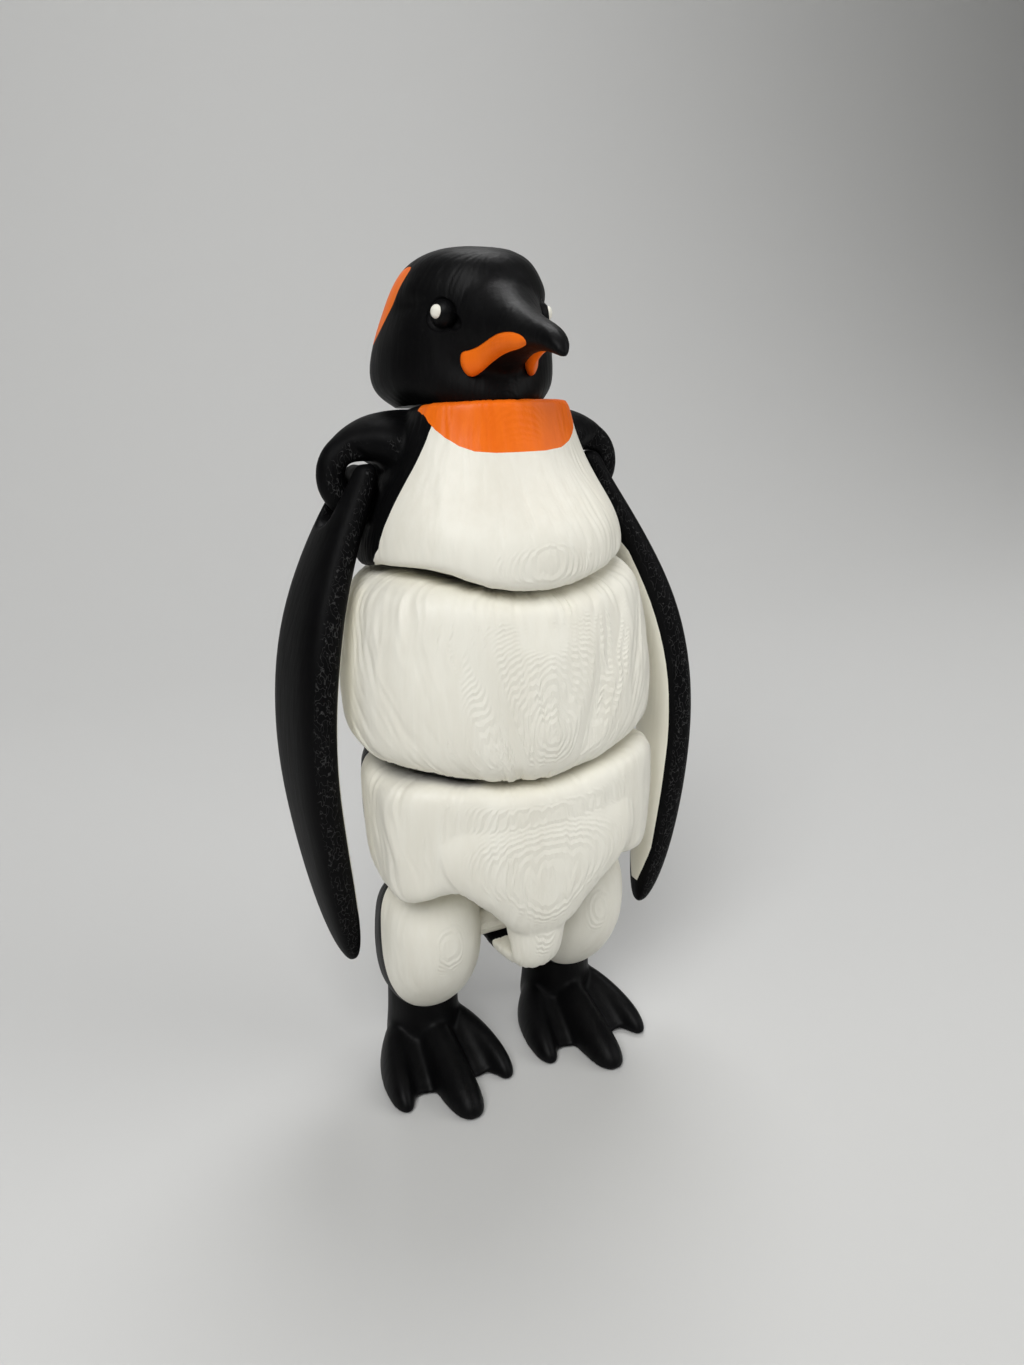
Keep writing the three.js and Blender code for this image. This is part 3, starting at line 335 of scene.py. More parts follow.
# height, half width, front
PROW = [
    (33.2, 3.0, -20.4),
    (34.8, 5.2, -22.4),
    (37.6, 6.5, -24.0),
    (41.6, 7.1, -25.0),
    (47.6, 8.0, -25.6),
    (54.6, 10.4, -25.6),
]
keel_rings = [level_ring(z, half, front, back, KEEL_WIDEST, 20) for z, half, front, back in KEEL]
keel = ringed("keel", keel_rings, 2)
prow_rings = [level_ring(z, half, front, PROW_BACK, PROW_WIDEST, 20) for z, half, front in PROW]
prow = ringed("prow", prow_rings, 2)
AXLE_Y, AXLE_Z, SLOT_REACH, SLOT_RADIUS = -5.0, 41.0, 10.0, 4.4
slot_outline = []
for step in range(24):
    turn = math.pi * step / 11.5
    end = AXLE_Y if math.cos(turn) > 0 else AXLE_Y - SLOT_REACH
    slot_outline.append((end + SLOT_RADIUS * math.cos(turn), AXLE_Z + SLOT_RADIUS * math.sin(turn)))
axle_slot = slab("axle_slot", slot_outline, -22, 22, "x")
cut(prow, axle_slot, keep=True)
cut(keel, axle_slot)
APRON_WIDEST, APRON_BACK = -22.2, -19.4
# height, half width, front
APRON = [
    (45.0, 4.6, -24.4),
    (46.6, 7.6, -25.8),
    (50.0, 10.8, -27.0),
    (54.0, 14.2, -27.6),
    (58.0, 19.0, -27.8),
    (64.0, 25.5, -27.8),
    (71.0, 27.0, -27.2),
    (77.0, 24.0, -25.8),
    (80.0, 17.0, -23.6),
]
apron_rings = [level_ring(z, half, front, APRON_BACK, APRON_WIDEST, 20) for z, half, front in APRON]
apron = ringed("apron", apron_rings, 2)
TAIL_BACK, TAIL_THICK, TAIL_HALF_WIDTH = 30.5, 11.5, 8
# height, share of the full size
TAIL = [(38.0, 0.25), (39.5, 0.45), (51.0, 0.85), (63.0, 1.0)]
tail_rings = []
for z, share in TAIL:
    front = TAIL_BACK - TAIL_THICK * share
    tail_middle = (front + TAIL_BACK) / 2
    tail_rings.append(level_ring(z, TAIL_HALF_WIDTH * share, front, TAIL_BACK, tail_middle, 16))
tail = ringed("tail", tail_rings, 2)
fused(joined(hips, keel, prow, apron, tail), grain=0.5, rounds=22)


def hips_relief(x, y, z, ny):
    """Feather strokes on the skirt."""
    return 0.58 * calm(ny) * strokes(x, y, z, HIPS_FOOT, HIPS_TALL, gather=0.15)


pressed(hips, hips_relief)
cut(hips, tongue_pocket("hips_pocket", LOWER_PIN_Z, 96))
FAR = 60
hips_white = [(-FAR, 20), (-9, 20), (-9, 42), (-5, 47), (4, 51), (9, 56), (9, 110), (-FAR, 110)]
hips_shape = slab("hips_shape", hips_white, -FAR, FAR, "x")
hips_front = cut(twin(hips, "hips_white_front"), hips_shape, "INTERSECT", True)
hips_back = cut(hips, hips_shape)
hips_back.name = "hips_black_back"


class Wire:
    """A value in a finish: arithmetic on it adds the sums to that finish."""

    def __init__(self, finish, socket):
        self.finish = finish
        self.socket = socket

    def sum(self, operation, *values):
        return self.finish.node("ShaderNodeMath", {"operation": operation}, dict(enumerate(values)))

    def __add__(self, other):
        return self.sum("ADD", self, other)

    __radd__ = __add__

    def __sub__(self, other):
        return self.sum("SUBTRACT", self, other)

    def __rsub__(self, other):
        return self.sum("SUBTRACT", other, self)

    def __mul__(self, other):
        return self.sum("MULTIPLY", self, other)

    def __truediv__(self, other):
        return self.sum("DIVIDE", self, other)

    def __abs__(self):
        return self.sum("ABSOLUTE", self)


class Finish:
    """A plastic's finish, built up from nodes."""

    def __init__(self, name):
        self.material = bpy.data.materials.new(name)
        self.material.use_nodes = True
        self.tree = self.material.node_tree
        self.shader = self.tree.nodes["Principled BSDF"]

    def node(self, kind, settings, inputs, output=0):
        made = self.tree.nodes.new(kind)
        for key, value in settings.items():
            setattr(made, key, value)
        for key, value in inputs.items():
            self.feed(made.inputs[key], value)
        return Wire(self, made.outputs[output])

    def feed(self, socket, value):
        if isinstance(value, Wire):
            self.tree.links.new(value.socket, socket)
        else:
            socket.default_value = value


def ramp(finish, value, low, high):
    """0 below low, 1 above high, smooth between."""
    inputs = {"Value": value, "From Min": low, "From Max": high}
    return finish.node("ShaderNodeMapRange", {"interpolation_type": "SMOOTHSTEP"}, inputs)


def mottle(finish, place, stretch, scale, detail):
    """Soft random patches, drawn out along an axis by a stretch below 1."""
    turned = finish.node("ShaderNodeVectorMath", {"operation": "MULTIPLY"}, {0: place, 1: stretch})
    inputs = {"Vector": turned, "Scale": scale, "Detail": detail, "Roughness": 0.55}
    return finish.node("ShaderNodeTexNoise", {}, inputs)


def blend(finish, share, first, second):
    """One colour turning into another as the share goes from 0 to 1."""
    return finish.node("ShaderNodeMix", {"data_type": "RGBA"}, {0: share, 6: first, 7: second}, 2)


LAYER, LAYER_WANDER, PRINT_DEPTH = 0.00026, 0.00025, 0.0004
# The grey of a painted sheen along the stippled worms of the top skin.
STIPPLE_SHEEN_GREY = (0.16, 0.16, 0.16, 1)


def printed_plastic(name, colour, shade, roughness, shine, contours, stipple):
    """Printed plastic: fine strokes, the contour steps of its layers and a stippled top skin, whose
    raised worms get a painted grey sheen.
    """
    finish = Finish(name)
    place = finish.node("ShaderNodeTexCoord", {}, {}, "Object")
    facing = finish.node("ShaderNodeTexCoord", {}, {}, "Normal")
    y = finish.node("ShaderNodeSeparateXYZ", {}, {"Vector": place}, "Y")
    face_y = finish.node("ShaderNodeSeparateXYZ", {}, {"Vector": facing}, "Y")
    stroke = mottle(finish, place, (1, 1, 0.1), 560, 3)
    broad = mottle(finish, place, (1, 1, 0.3), 90, 3)
    worms = mottle(finish, place, (1, 1, 0.6), 900, 1)
    wander = (y + (stroke - 0.5) * LAYER_WANDER) / LAYER
    step = abs(wander.sum("FRACT", wander) - 0.5) * 2
    level_skin = ramp(finish, abs(face_y), 0.945, 0.992)
    top_skin = ramp(finish, 0 - face_y, 0.8, 0.95)
    squiggle = (1 - ramp(finish, abs(worms - 0.5), 0.0, 0.035)) * top_skin * stipple
    height = (stroke - 0.5) * 0.35 + step * level_skin * contours + squiggle
    relief = {"Strength": 0.8, "Distance": PRINT_DEPTH, "Height": height}
    finish.feed(finish.shader.inputs["Normal"], finish.node("ShaderNodeBump", {}, relief))
    tone = ramp(finish, stroke * 0.35 + broad * 0.65, 0.34, 0.62)
    toned = blend(finish, tone, (*shade, 1), (*colour, 1))
    # Painted sheen: the raised worms of the stippled top skin are mixed towards grey, where they would
    # catch the light.
    sheen_painted = blend(finish, squiggle * 0.35, toned, STIPPLE_SHEEN_GREY)
    finish.feed(finish.shader.inputs["Base Color"], sheen_painted)
    finish.feed(finish.shader.inputs["Roughness"], roughness + (broad - 0.5) * 0.14)
    finish.feed(finish.shader.inputs["Specular IOR Level"], shine)
    return finish.material


white_plastic = printed_plastic(
    "white_printed_plastic",
    colour=(0.88, 0.86, 0.765),
    shade=(0.84, 0.815, 0.715),
    roughness=0.46,
    shine=0.35,
    contours=0.5,
    stipple=0.0,
)
black_plastic = printed_plastic(
    "black_printed_plastic",
    colour=(0.0035, 0.0035, 0.0038),
    shade=(0.0022, 0.0022, 0.0025),
    roughness=0.46,
    shine=0.1,
    contours=0.2,
    stipple=0.0,
)


def dress(piece, finish, body, node):
    """Gives a piece its finish, lets it move with its body and hides the printed solid it stands for."""
    piece.data.materials.clear()
    piece.data.materials.append(finish)
    smooth_skin(piece)
    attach(piece, body)
    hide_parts(node)


dress(hips_front, white_plastic, "hips", "hips_front")
dress(hips_back, black_plastic, "hips", "hips_back")

# Legs. Each is a fat thigh, white in front and black behind, on a round black shank and a webbed
# foot with three blunt toes, all one print. A white axle in the thigh's inner side turns in the keel.
THIGH_X, THIGH_HALF_WIDTH, THIGH_FOOT, THIGH_TOP = 20.9, 13.0, 18.0, 55.6
# level up the thigh, share of the half width, front, back
THIGH = [
    (0.0, 0.42, -4.0, 10.0),
    (0.06, 0.68, -6.6, 13.4),
    (0.18, 0.87, -10.6, 15.0),
    (0.36, 0.98, -14.6, 15.0),
    (0.58, 1.0, -16.6, 14.6),
    (0.8, 0.95, -16.0, 12.6),
    (0.93, 0.8, -13.6, 8.6),
    (1.0, 0.52, -9.4, 3.0),
]
SHANK_X, SHANK_Y = 20.3, 6.1
# height, radius
SHANK = [(0, 8.6), (2, 10.2), (6, 10.2), (10, 9.7), (15, 9.4), (30, 9.3)]
# across, forward, half width, height
MIDDLE_TOE = [
    (0.0, -2.0, 6.2, 15.5),
    (0.0, 10.0, 5.9, 13.2),
    (0.0, 20.0, 5.5, 9.9),
    (0.0, 28.0, 5.0, 7.1),
    (0.0, 32.2, 3.5, 4.6),
    (0.0, 34.1, 1.4, 1.8),
]
# across, forward, half width, height
SIDE_TOE = [
    (3.0, -3.0, 5.2, 14.0),
    (9.2, 3.5, 5.1, 11.6),
    (12.0, 11.0, 4.5, 9.1),
    (13.4, 18.0, 3.8, 6.9),
    (13.9, 22.6, 2.6, 4.4),
    (13.7, 24.8, 1.1, 1.7),
]
# forward, near edge, far edge, height at the toes, height between them
WEB = [
    (-3.0, 2.0, 8.0, 13.5, 13.0),
    (4.0, 1.5, 9.5, 11.8, 10.4),
    (9.0, 1.0, 11.2, 10.0, 7.6),
    (14.0, 0.8, 12.4, 8.0, 5.2),
    (17.5, 0.8, 13.0, 6.4, 3.6),
    (20.0, 1.0, 13.3, 5.0, 2.4),
    (21.0, 1.0, 13.4, 2.4, 1.0),
]
WEB_SCOOP_FROM, WEB_SCOOP = 9, 0.16


def toe(stations, side):
    """A rounded ridge on the ground that follows its stations from the ankle to the tip."""
    rings = []
    for i, (across, forward, half_width, tall) in enumerate(stations):
        ahead = stations[min(i + 1, len(stations) - 1)]
        behind = stations[max(i - 1, 0)]
        along = Vector((ahead[0] - behind[0], behind[1] - ahead[1])).normalized()
        ring = []
        for step in range(14):
            angle = 2 * math.pi * step / 14
            out = half_width * math.cos(angle)
            up = tall * max(0, math.sin(angle)) if step < 8 else 0.0
            x = side * SHANK_X + across - along.y * out
            ring.append(at(x, SHANK_Y - forward + along.x * out, up))
        rings.append(ring)
    return rings


def leg_parts(side, name):
    """A thigh and a foot, with shank, toes and webs melted into one form."""
    thigh_rings = []
    for level, width, front, back in THIGH:
        z = THIGH_FOOT + level * (THIGH_TOP - THIGH_FOOT)
        half, middle_y = THIGH_HALF_WIDTH * width, (front + back) / 2
        thigh_rings.append(level_ring(z, half, front, back, middle_y, 18, side * THIGH_X))
    thigh = ringed(name, thigh_rings, 2)
    shank_rings = []
    for z, radius in SHANK:
        front, back = SHANK_Y - radius, SHANK_Y + radius
        ring = level_ring(z, radius, front, back, SHANK_Y, 20, side * SHANK_X, (2, 2))
        shank_rings.append(ring)
    forms = [ringed("shank", shank_rings, 2)]
    mirrored = [(-a, f, w, t) for a, f, w, t in SIDE_TOE]
    for stations in (MIDDLE_TOE, SIDE_TOE, mirrored):
        forms.append(ringed("toe", toe(stations, side), 2))
    for hand in (-1, 1):
        rings = []
        for forward, near, far, tall, low in WEB:
            ring = []
            for step in range(9):
                share = step / 8
                dip = math.sin(math.pi * share)
                x = side * SHANK_X + hand * (near + (far - near) * share)
                scoop = max(0, forward - WEB_SCOOP_FROM) * WEB_SCOOP * dip
                ring.append(at(x, SHANK_Y - forward + scoop, tall + (low - tall) * dip))
            ring += [at(side * SHANK_X + hand * a, SHANK_Y - forward, 0) for a in (far, near)]
            rings.append(ring)
        forms.append(ringed("web", rings, 1))
    foot = fused(joined(*forms), grain=0.5, rounds=16)
    return joined(thigh, foot)


def leg_relief(x, y, z, ny):
    """Feather strokes on the thighs alone."""
    return 0.24 * eased(z, 20, 26) * strokes(x, y, z, 0, 60, gather=0)


# place along the axle, radius
AXLE = [(1, 3.2), (1.6, 3.9), (2.2, 4), (8, 4), (13.7, 4)]
for name, side in (("right", -1), ("left", 1)):
    leg = fused(leg_parts(side, f"{name}_leg_skin"), grain=0.45, rounds=5)
    pressed(leg, leg_relief)
    below_ground = [(-80, -9), (80, -9), (80, 0), (-80, 0)]
    cut(leg, slab("ground", below_ground, -80, 80, "y"))
    front_outline = [(-FAR, 17), (-4.15, 17), (1.6, 57), (-FAR, 57)]
    front_shape = slab("front_shape", front_outline, side * 4, side * 50, "x")
    thigh_front = cut(twin(leg, f"{name}_thigh_white_front"), front_shape, "INTERSECT", True)
    cut(leg, front_shape)
    dress(leg, black_plastic, f"{name}_leg_body", f"{name}_leg")
    dress(thigh_front, white_plastic, f"{name}_leg_body", f"{name}_thigh_front")
    axle_rings = []
    for x, radius in AXLE:
        ring = [(AXLE_Y + radius * math.cos(a), AXLE_Z + radius * math.sin(a)) for a in around(24)]
        axle_rings.append([at(side * x, y, z) for y, z in ring])
    axle = ringed(f"{name}_white_hip_axle", axle_rings, 2)
    dress(axle, white_plastic, f"{name}_leg_body", f"{name}_hip_axle")

# Belly. The widest block, again white in front and black behind in one flush skin, with soft
# feather strokes pressed into it. Its tongue hangs in the hips' pocket, and its own pin holds the chest.
BELLY_FOOT, BELLY_TALL = 84.7, 43.4
# level up the block, half width, front, back, place of the widest line
BELLY_SECTIONS = [
    (0.0, 37.3, -26.0, 31.5, -3.0),
    (0.35, 38.1, -26.8, 32.0, -1.5),
    (0.75, 35.9, -24.8, 31.5, 0.5),
    (1.0, 32.6, -23.6, 31.0, 1.0),
]
UPPER_PIN_Z, UPPER_SEAM_SPAN = 119.1, 35


def upper_seam(x, y):
    return seam(x, UPPER_SEAM_SPAN)


def belly_top(x, y):
    """The seam under the chest, a little lower at the figure's right end."""
    return upper_seam(x, y) - 1.1 * eased(-x, 25, 30)


belly = trunk_block(
    "belly",
    BELLY_FOOT,
    BELLY_TALL,
    BELLY_SECTIONS,
    lower_edge=6,
    upper_edge=7,
    lower_rise=lower_seam,
    upper_rise=belly_top,
)


def belly_relief(x, y, z, ny):
    """Feather strokes, and a knobbly ridge down the middle between two folds that meet at its foot."""
    front = eased(-ny, 0.1, 0.7)
    level = (z - BELLY_FOOT) / BELLY_TALL
    knobs = 1 + 0.35 * math.cos(2 * math.pi * (level - 0.68) / 0.4)
    ridge = 0.7 * mound(x, 0, 4.4) * mound(level, 0.46, 0.34) * knobs
    fold = 1.05 * mound(abs(x), 7.5 + 14 * level, 3.4) * mound(level, 0.4, 0.34)
    saddle = 0.8 * mound(x, 0, 15) * mound(level, 0.86, 0.1)
    feathers = 0.85 * calm(ny) * strokes(x, y, z, BELLY_FOOT, BELLY_TALL, gather=0.5)
    return front * (ridge - fold - saddle) + feathers


pressed(belly, belly_relief)
cut(belly, tongue_pocket("belly_pocket", UPPER_PIN_Z, 150))
belly_edge = [(3, 70), (4, 88), (7, 92), (12, 96), (17, 102), (19, 110), (19, 150)]
belly_shape = slab("belly_shape", [(-FAR, 70), *belly_edge, (-FAR, 150)], -FAR, FAR, "x")
hem = []
for x in range(-44, 45, 2):
    hem.append((x, BELLY_FOOT + lower_seam(x, 0) - 2 + 3 * eased(-x, 2, 18)))
cut(belly_shape, slab("above_hem", [*hem, (44, 150), (-44, 150)], -50, 50, "y"), "INTERSECT")
belly_front = cut(twin(belly, "belly_white_front"), belly_shape, "INTERSECT", True)
belly_back = cut(belly, belly_shape)
belly_back.name = "belly_black_back"
dress(belly_front, white_plastic, "belly", "belly_front")
dress(belly_back, black_plastic, "belly", "belly_back")

# Chest. A tapering block, white in front and black behind, that flows out into two thick shoulder
# rings. An orange bib is let into the throat. Its tongue hangs in the belly's pocket on a pin, and a
# stud on its top carries the head.
CHEST_FOOT, CHEST_TALL = 129.4, 40.2
CHEST_TOP = CHEST_FOOT + CHEST_TALL
# level up the block, half width, front, back, place of the widest line
CHEST_SECTIONS = [
    (0.0, 31.8, -23.8, 31.0, 6.0),
    (0.28, 29.6, -23.2, 30.5, 6.0),
    (0.5, 25.4, -16.0, 30.0, 6.0),
    (0.72, 22.0, -11.4, 28.0, 6.0),
    (1.0, 17.8, -9.6, 22.5, 3.5),
]
RING_X, RING_Y, RING_Z, RING_MAJOR, RING_TUBE = 28.8, 13.0, 152.4, 7.1, 3.3
# distance out, height, distance behind the ring, half depth, half thickness, lean in degrees
YOKE = [
    (11.0, 157.3, 1.6, 12.6, 9.4, 0),
    (18.0, 157.3, 2.2, 12.2, 9.4, 0),
    (23.8, 159.2, 1.2, 11.6, 7.0, 5),
    (28.4, 159.9, 0.6, 6.9, 4.7, 16),
    (32.7, 158.2, 0.2, 4.1, 3.8, 35),
    (35.5, 154.9, 0.0, 3.4, 3.4, 68),
    (35.7, 150.6, 0.0, 3.2, 3.2, 105),
]
NECK_TILT, THROAT_Y = math.radians(6.5), -9.6


def neck_drop(x, y):
    """How far the neck's joint lies below the top of the throat, further down towards the nape."""
    return -math.tan(NECK_TILT) * max(0, y - THROAT_Y)


# drop below the ring, distance out, front edge, back edge, thickness
BLADE = [
    (-3.3, 0.1, 6.8, 15.0, 3.8),
    (-2.1, 0.3, 5.2, 17.6, 6.4),
    (2.0, 1.3, 4.6, 20.6, 8.4),
    (12.0, 6.7, 2.4, 21.4, 9.8),
    (24.5, 12.4, -1.5, 20.5, 10.2),
    (37.5, 16.5, -5.0, 18.5, 10.2),
    (52.5, 18.7, -6.7, 17.0, 9.8),
    (67.5, 18.8, -6.6, 15.6, 9.6),
    (82.5, 17.2, -5.6, 14.0, 9.4),
    (97.5, 14.9, -3.6, 12.4, 8.8),
    (109.0, 12.8, -1.0, 10.8, 7.4),
    (116.5, 11.3, 1.8, 9.0, 5.2),
    (120.5, 10.4, 4.2, 7.2, 2.2),
]
BLADE_TWIST = math.radians(7)


def blade_point(station, side, outward, behind):
    """A point of a flipper's section: outward across the blade and back along its twisted chord."""
    drop, out, lead, trail, _ = station
    twist = BLADE_TWIST * eased(drop, 0, 40)
    x = RING_X + out + outward * math.cos(twist) + behind * math.sin(twist)
    y = (lead + trail) / 2 + behind * math.cos(twist) - outward * math.sin(twist)
    return at(side * x, y, RING_Z - drop)


def blade_rings(side, grow):
    """A flipper's sections from the root to the tip, grown all round by a clearance."""
    rings = []
    for station in BLADE:
        half_chord = (station[3] - station[2]) / 2 + grow
        half_thick = station[4] / 2 + grow
        power = 2.3 + 0.7 * eased(station[0], 4, 44)
        ring = []
        for angle in around(20):
            outward = half_thick * bulge(math.cos(angle), power)
            ring.append(blade_point(station, side, outward, half_chord * bulge(math.sin(angle), power)))
        rings.append(ring)
    return rings


def link_eye(side, spare):
    """The slot in a flipper's root that lets it turn on its ring."""
    half_slot = RING_TUBE + spare
    outline = [(RING_Y + half_slot, 190), (RING_Y - half_slot, 190)]
    for step in range(13):
        angle = math.pi + math.pi * step / 12
        slot_z = RING_Z - RING_MAJOR + half_slot * math.sin(angle)
        outline.append((RING_Y + half_slot * math.cos(angle), slot_z))
    return slab("link_eye", outline, side * 10, side * 60, "x")


# side, degrees spread outwards, degrees swung forwards
HANG = {"right": (-1, 0.0, 0.0), "left": (1, 0.6, 5.0)}


def hung(side, spread, swing, lift):
    """How a flipper hangs on its ring, swung forwards and raised sideways by an angle in degrees."""
    pivot = at(side * RING_X, RING_Y, RING_Z)
    turn = Matrix.Rotation(math.radians(-swing), 4, "X")
    turn = turn @ Matrix.Rotation(math.radians(-side * (spread + lift)), 4, "Y")
    return Matrix.Translation(pivot) @ turn @ Matrix.Translation(-pivot)


def chest_foot(x, y):
    """The seam over the belly, lifted towards the figure's right and turned down at that corner."""
    lift = 1.3 * mound(x, -21, 6) - 0.9 * eased(-x, 26, 30)
    flank = 2.4 * eased(abs(x), 27, 31) * eased(y, 0, 7)
    return upper_seam(x, y) + lift - flank


chest = trunk_block(
    "chest",
    CHEST_FOOT,
    CHEST_TALL,
    CHEST_SECTIONS,
    lower_edge=3,
    upper_edge=1.2,
    lower_rise=chest_foot,
    upper_rise=neck_drop,
)
FLIPPER_ROOM, RAISED_ROOM = 1.3, 0.5
for side in (-1, 1):
    cut(chest, ringed("flipper_room", blade_rings(side, FLIPPER_ROOM), 1))
for side, spread, swing in HANG.values():
    yoke_rings = []
    for out, z, behind, deep, thick, lean in YOKE:
        across = Vector((side * math.sin(math.radians(lean)), 0, math.cos(math.radians(lean))))
        ring = []
        for angle in around(20):
            rim = across * (thick * math.sin(angle) / 1000)
            ring.append(at(side * out, RING_Y + behind + deep * math.cos(angle), z) + rim)
        yoke_rings.append(ring)
    bpy.ops.object.select_all(action="DESELECT")
    bpy.ops.mesh.primitive_torus_add(
        location=at(side * RING_X, RING_Y, RING_Z),
        rotation=(math.pi / 2, 0, 0),
        major_radius=RING_MAJOR / 1000,
        minor_radius=RING_TUBE / 1000,
        major_segments=48,
        minor_segments=24,
    )
    shoulder_ring = bpy.context.object
    bpy.ops.object.transform_apply(location=True, rotation=True, scale=True)
    sweep = ringed("flipper_sweep", blade_rings(side, FLIPPER_ROOM)[:5], 1)
    for lift in (82, 91, 100):
        raised_root = ringed("raised_root", blade_rings(side, RAISED_ROOM)[:5], 1)
        cut(raised_root, link_eye(side, 0.4))
        raised_root.data.transform(hung(side, spread, swing, lift))
        joined(sweep, raised_root)
    yoke = fused(ringed("yoke", yoke_rings, 2), grain=0.4, rounds=1)
    joined(chest, shoulder_ring, cut(yoke, fused(sweep, grain=0.4, rounds=1)))
fused(chest, grain=0.5, rounds=11)


def chest_relief(x, y, z, ny):
    """Feather strokes, kept off the shoulder rings, and a low swelling on the breast."""
    front = min(1, max(0, -ny * 1.6))
    swelling = 1.2 * mound(x, 1, 8) * mound(z, 142, 5.5)
    trunk = calm(ny) * (1 - eased(abs(x), 20, 25) * eased(z, 138, 144))
    feathers = 0.42 * trunk * strokes(x, y, z, CHEST_FOOT, CHEST_TALL, gather=0.2)
    return feathers + front * swelling


pressed(chest, chest_relief)
bib_half = [(18.3, 40), (18.3, -3), (17.9, -5.0), (17.2, -6.4), (15.7, -8.0)]
bib_half += [(13.5, -9.6), (10.6, -10.7), (6, -11.1), (0, -11.1)]
bib_outline = [(x, CHEST_TOP + z) for x, z in bib_half]
bib_outline += [(-x, z) for x, z in reversed(bib_outline[:-1])]
bib_shape = slab("bib_shape", bib_outline, -FAR, 3, "y")
bib = cut(twin(chest, "orange_throat_bib"), bib_shape, "INTERSECT", True)
cut(chest, bib_shape)
white_edge = [(4.6, 124), (4.4, 132.5), (1.2, 134.5), (-1.2, 138), (-2.2, 145), (-2.6, 152)]
white_edge += [(-3, 160), (-3.4, 170)]
white_outline = [(-FAR, 124), *white_edge, (-FAR, 170)]
white_shape = slab("white_shape", white_outline, -FAR, FAR, "x")
chest_front = cut(twin(chest, "chest_white_front"), white_shape, "INTERSECT", True)
chest_back = cut(chest, white_shape)
chest_back.name = "chest_black_back"
dress(chest_front, white_plastic, "chest", "chest_front")
stippled_black = printed_plastic(
    "stippled_black_plastic",
    colour=(0.0035, 0.0035, 0.0038),
    shade=(0.0022, 0.0022, 0.0025),
    roughness=0.5,
    shine=0.06,
    contours=0.2,
    stipple=0.8,
)
dress(chest_back, stippled_black, "chest", "chest_back")
orange_plastic = printed_plastic(
    "orange_printed_plastic",
    colour=(0.95, 0.18, 0.006),
    shade=(0.88, 0.15, 0.004),
    roughness=0.44,
    shine=0.25,
    contours=0.15,
    stipple=0.0,
)
dress(bib, orange_plastic, "chest", "throat_bib")

# Flippers. Long bowed blades, black outside with a white lining let into the inner face. The root
# is slotted for the shoulder ring and closed by a round bar, so each hangs from its ring like a link.
LINING_FROM, LINING_TO, LINING_DEPTH = 14.0, 113.0, 1.3
LINING_FRONT_RIM, LINING_BACK_RIM = 0.8, 1.6
BAR_DROP = 0.5
# place along the bar, radius
BAR = [(-5.8, 2.4), (-5.3, 2.6), (0, 2.6), (5.3, 2.6), (5.8, 2.4)]
for name, (side, spread, swing) in HANG.items():
    blade = cut(ringed(f"{name}_black_flipper", blade_rings(side, 0), 2), link_eye(side, 0.9))
    bar_rings = []
    for y, radius in BAR:
        ring = []
        for angle in around(20):
            x = side * RING_X + radius * math.cos(angle)
            ring.append(at(x, RING_Y + y, RING_Z - BAR_DROP + radius * math.sin(angle)))
        bar_rings.append(ring)
    joined(blade, ringed("link_bar", bar_rings, 1))
    fused(blade, grain=0.45, rounds=13)
    lining_rings = []
    for step in range(25):
        t = step / 24
        drop = LINING_FROM + (LINING_TO - LINING_FROM) * t
        station = (drop, *between(BLADE, drop))
        half_chord = (station[3] - station[2]) / 2
        share = 1 - 0.55 * (2 * t - 1) ** 8
        front = (LINING_FRONT_RIM - half_chord) * share
        back = (half_chord - LINING_BACK_RIM) * share
        near, past = LINING_DEPTH - station[4] / 2, -station[4]
        corners = ((past, front), (near, front), (near, back), (past, back))
        lining_rings.append([blade_point(station, side, u, v) for u, v in corners])
    lining_shape = ringed("lining_shape", lining_rings, 0)
    lining = cut(twin(blade, f"{name}_white_flipper_lining"), lining_shape, "INTERSECT", True)
    cut(blade, lining_shape)
    blade.data.transform(hung(side, spread, swing, 0))
    lining.data.transform(hung(side, spread, swing, 0))
    body = f"{name}_flipper_body"
    dress(blade, stippled_black, body, f"{name}_flipper")
    dress(lining, white_plastic, body, f"{name}_flipper_lining")

# Head. A black skull with a hooked bill, soft brows and an eye hollow on each side. White eye spots,
# orange bill plates and orange ear patches are let in flush, and it turns on a stud in the chest.
HEAD_FOOT, HEAD_TALL = 170.0, 31.4
# level up the head, half width, front, back, place of the widest line
HEAD = [
    (-0.1, 13.6, -5.0, 23.4, 16.0),
    (0.0, 17.2, -4.8, 27.6, 18.0),
    (0.06, 20.0, -4.3, 31.0, 19.6),
    (0.13, 21.7, -3.4, 33.0, 20.8),
    (0.24, 22.4, -2.2, 33.6, 21.2),
    (0.42, 21.2, -2.4, 33.2, 20.6),
    (0.62, 18.9, -3.6, 31.0, 18.6),
    (0.8, 16.9, -3.4, 27.6, 17.0),
    (0.92, 13.8, -0.4, 23.4, 14.0),
    (0.985, 8.6, 4.0, 18.0, 11.5),
    (1.0, 4.0, 8.4, 14.5, 11.5),
]
# distance forward, half width, top, bottom
BILL = [
    (-4.0, 13.4, 28.2, 2.6),
    (1.0, 11.2, 26.0, 3.6),
    (5.0, 8.8, 23.2, 5.6),
    (9.0, 6.9, 20.4, 7.2),
    (13.0, 5.6, 18.4, 8.4),
    (17.0, 4.8, 16.9, 9.1),
    (21.5, 4.0, 15.6, 9.3),
    (25.5, 3.2, 14.5, 9.0),
    (28.8, 2.2, 12.6, 8.2),
    (30.7, 1.1, 9.8, 7.6),
]
head_rings = []
for level, half_width, front, back, widest in HEAD:
    z = HEAD_FOOT + level * HEAD_TALL
    ring = level_ring(z, half_width, front, back, widest, 28, 0, (2, 2.6))
    for place in ring:
        place.z += (1 - level) * neck_drop(*own(place)[:2]) / 1000
    head_rings.append(ring)
head = ringed("black_head", head_rings, 2)
bill_rings = []
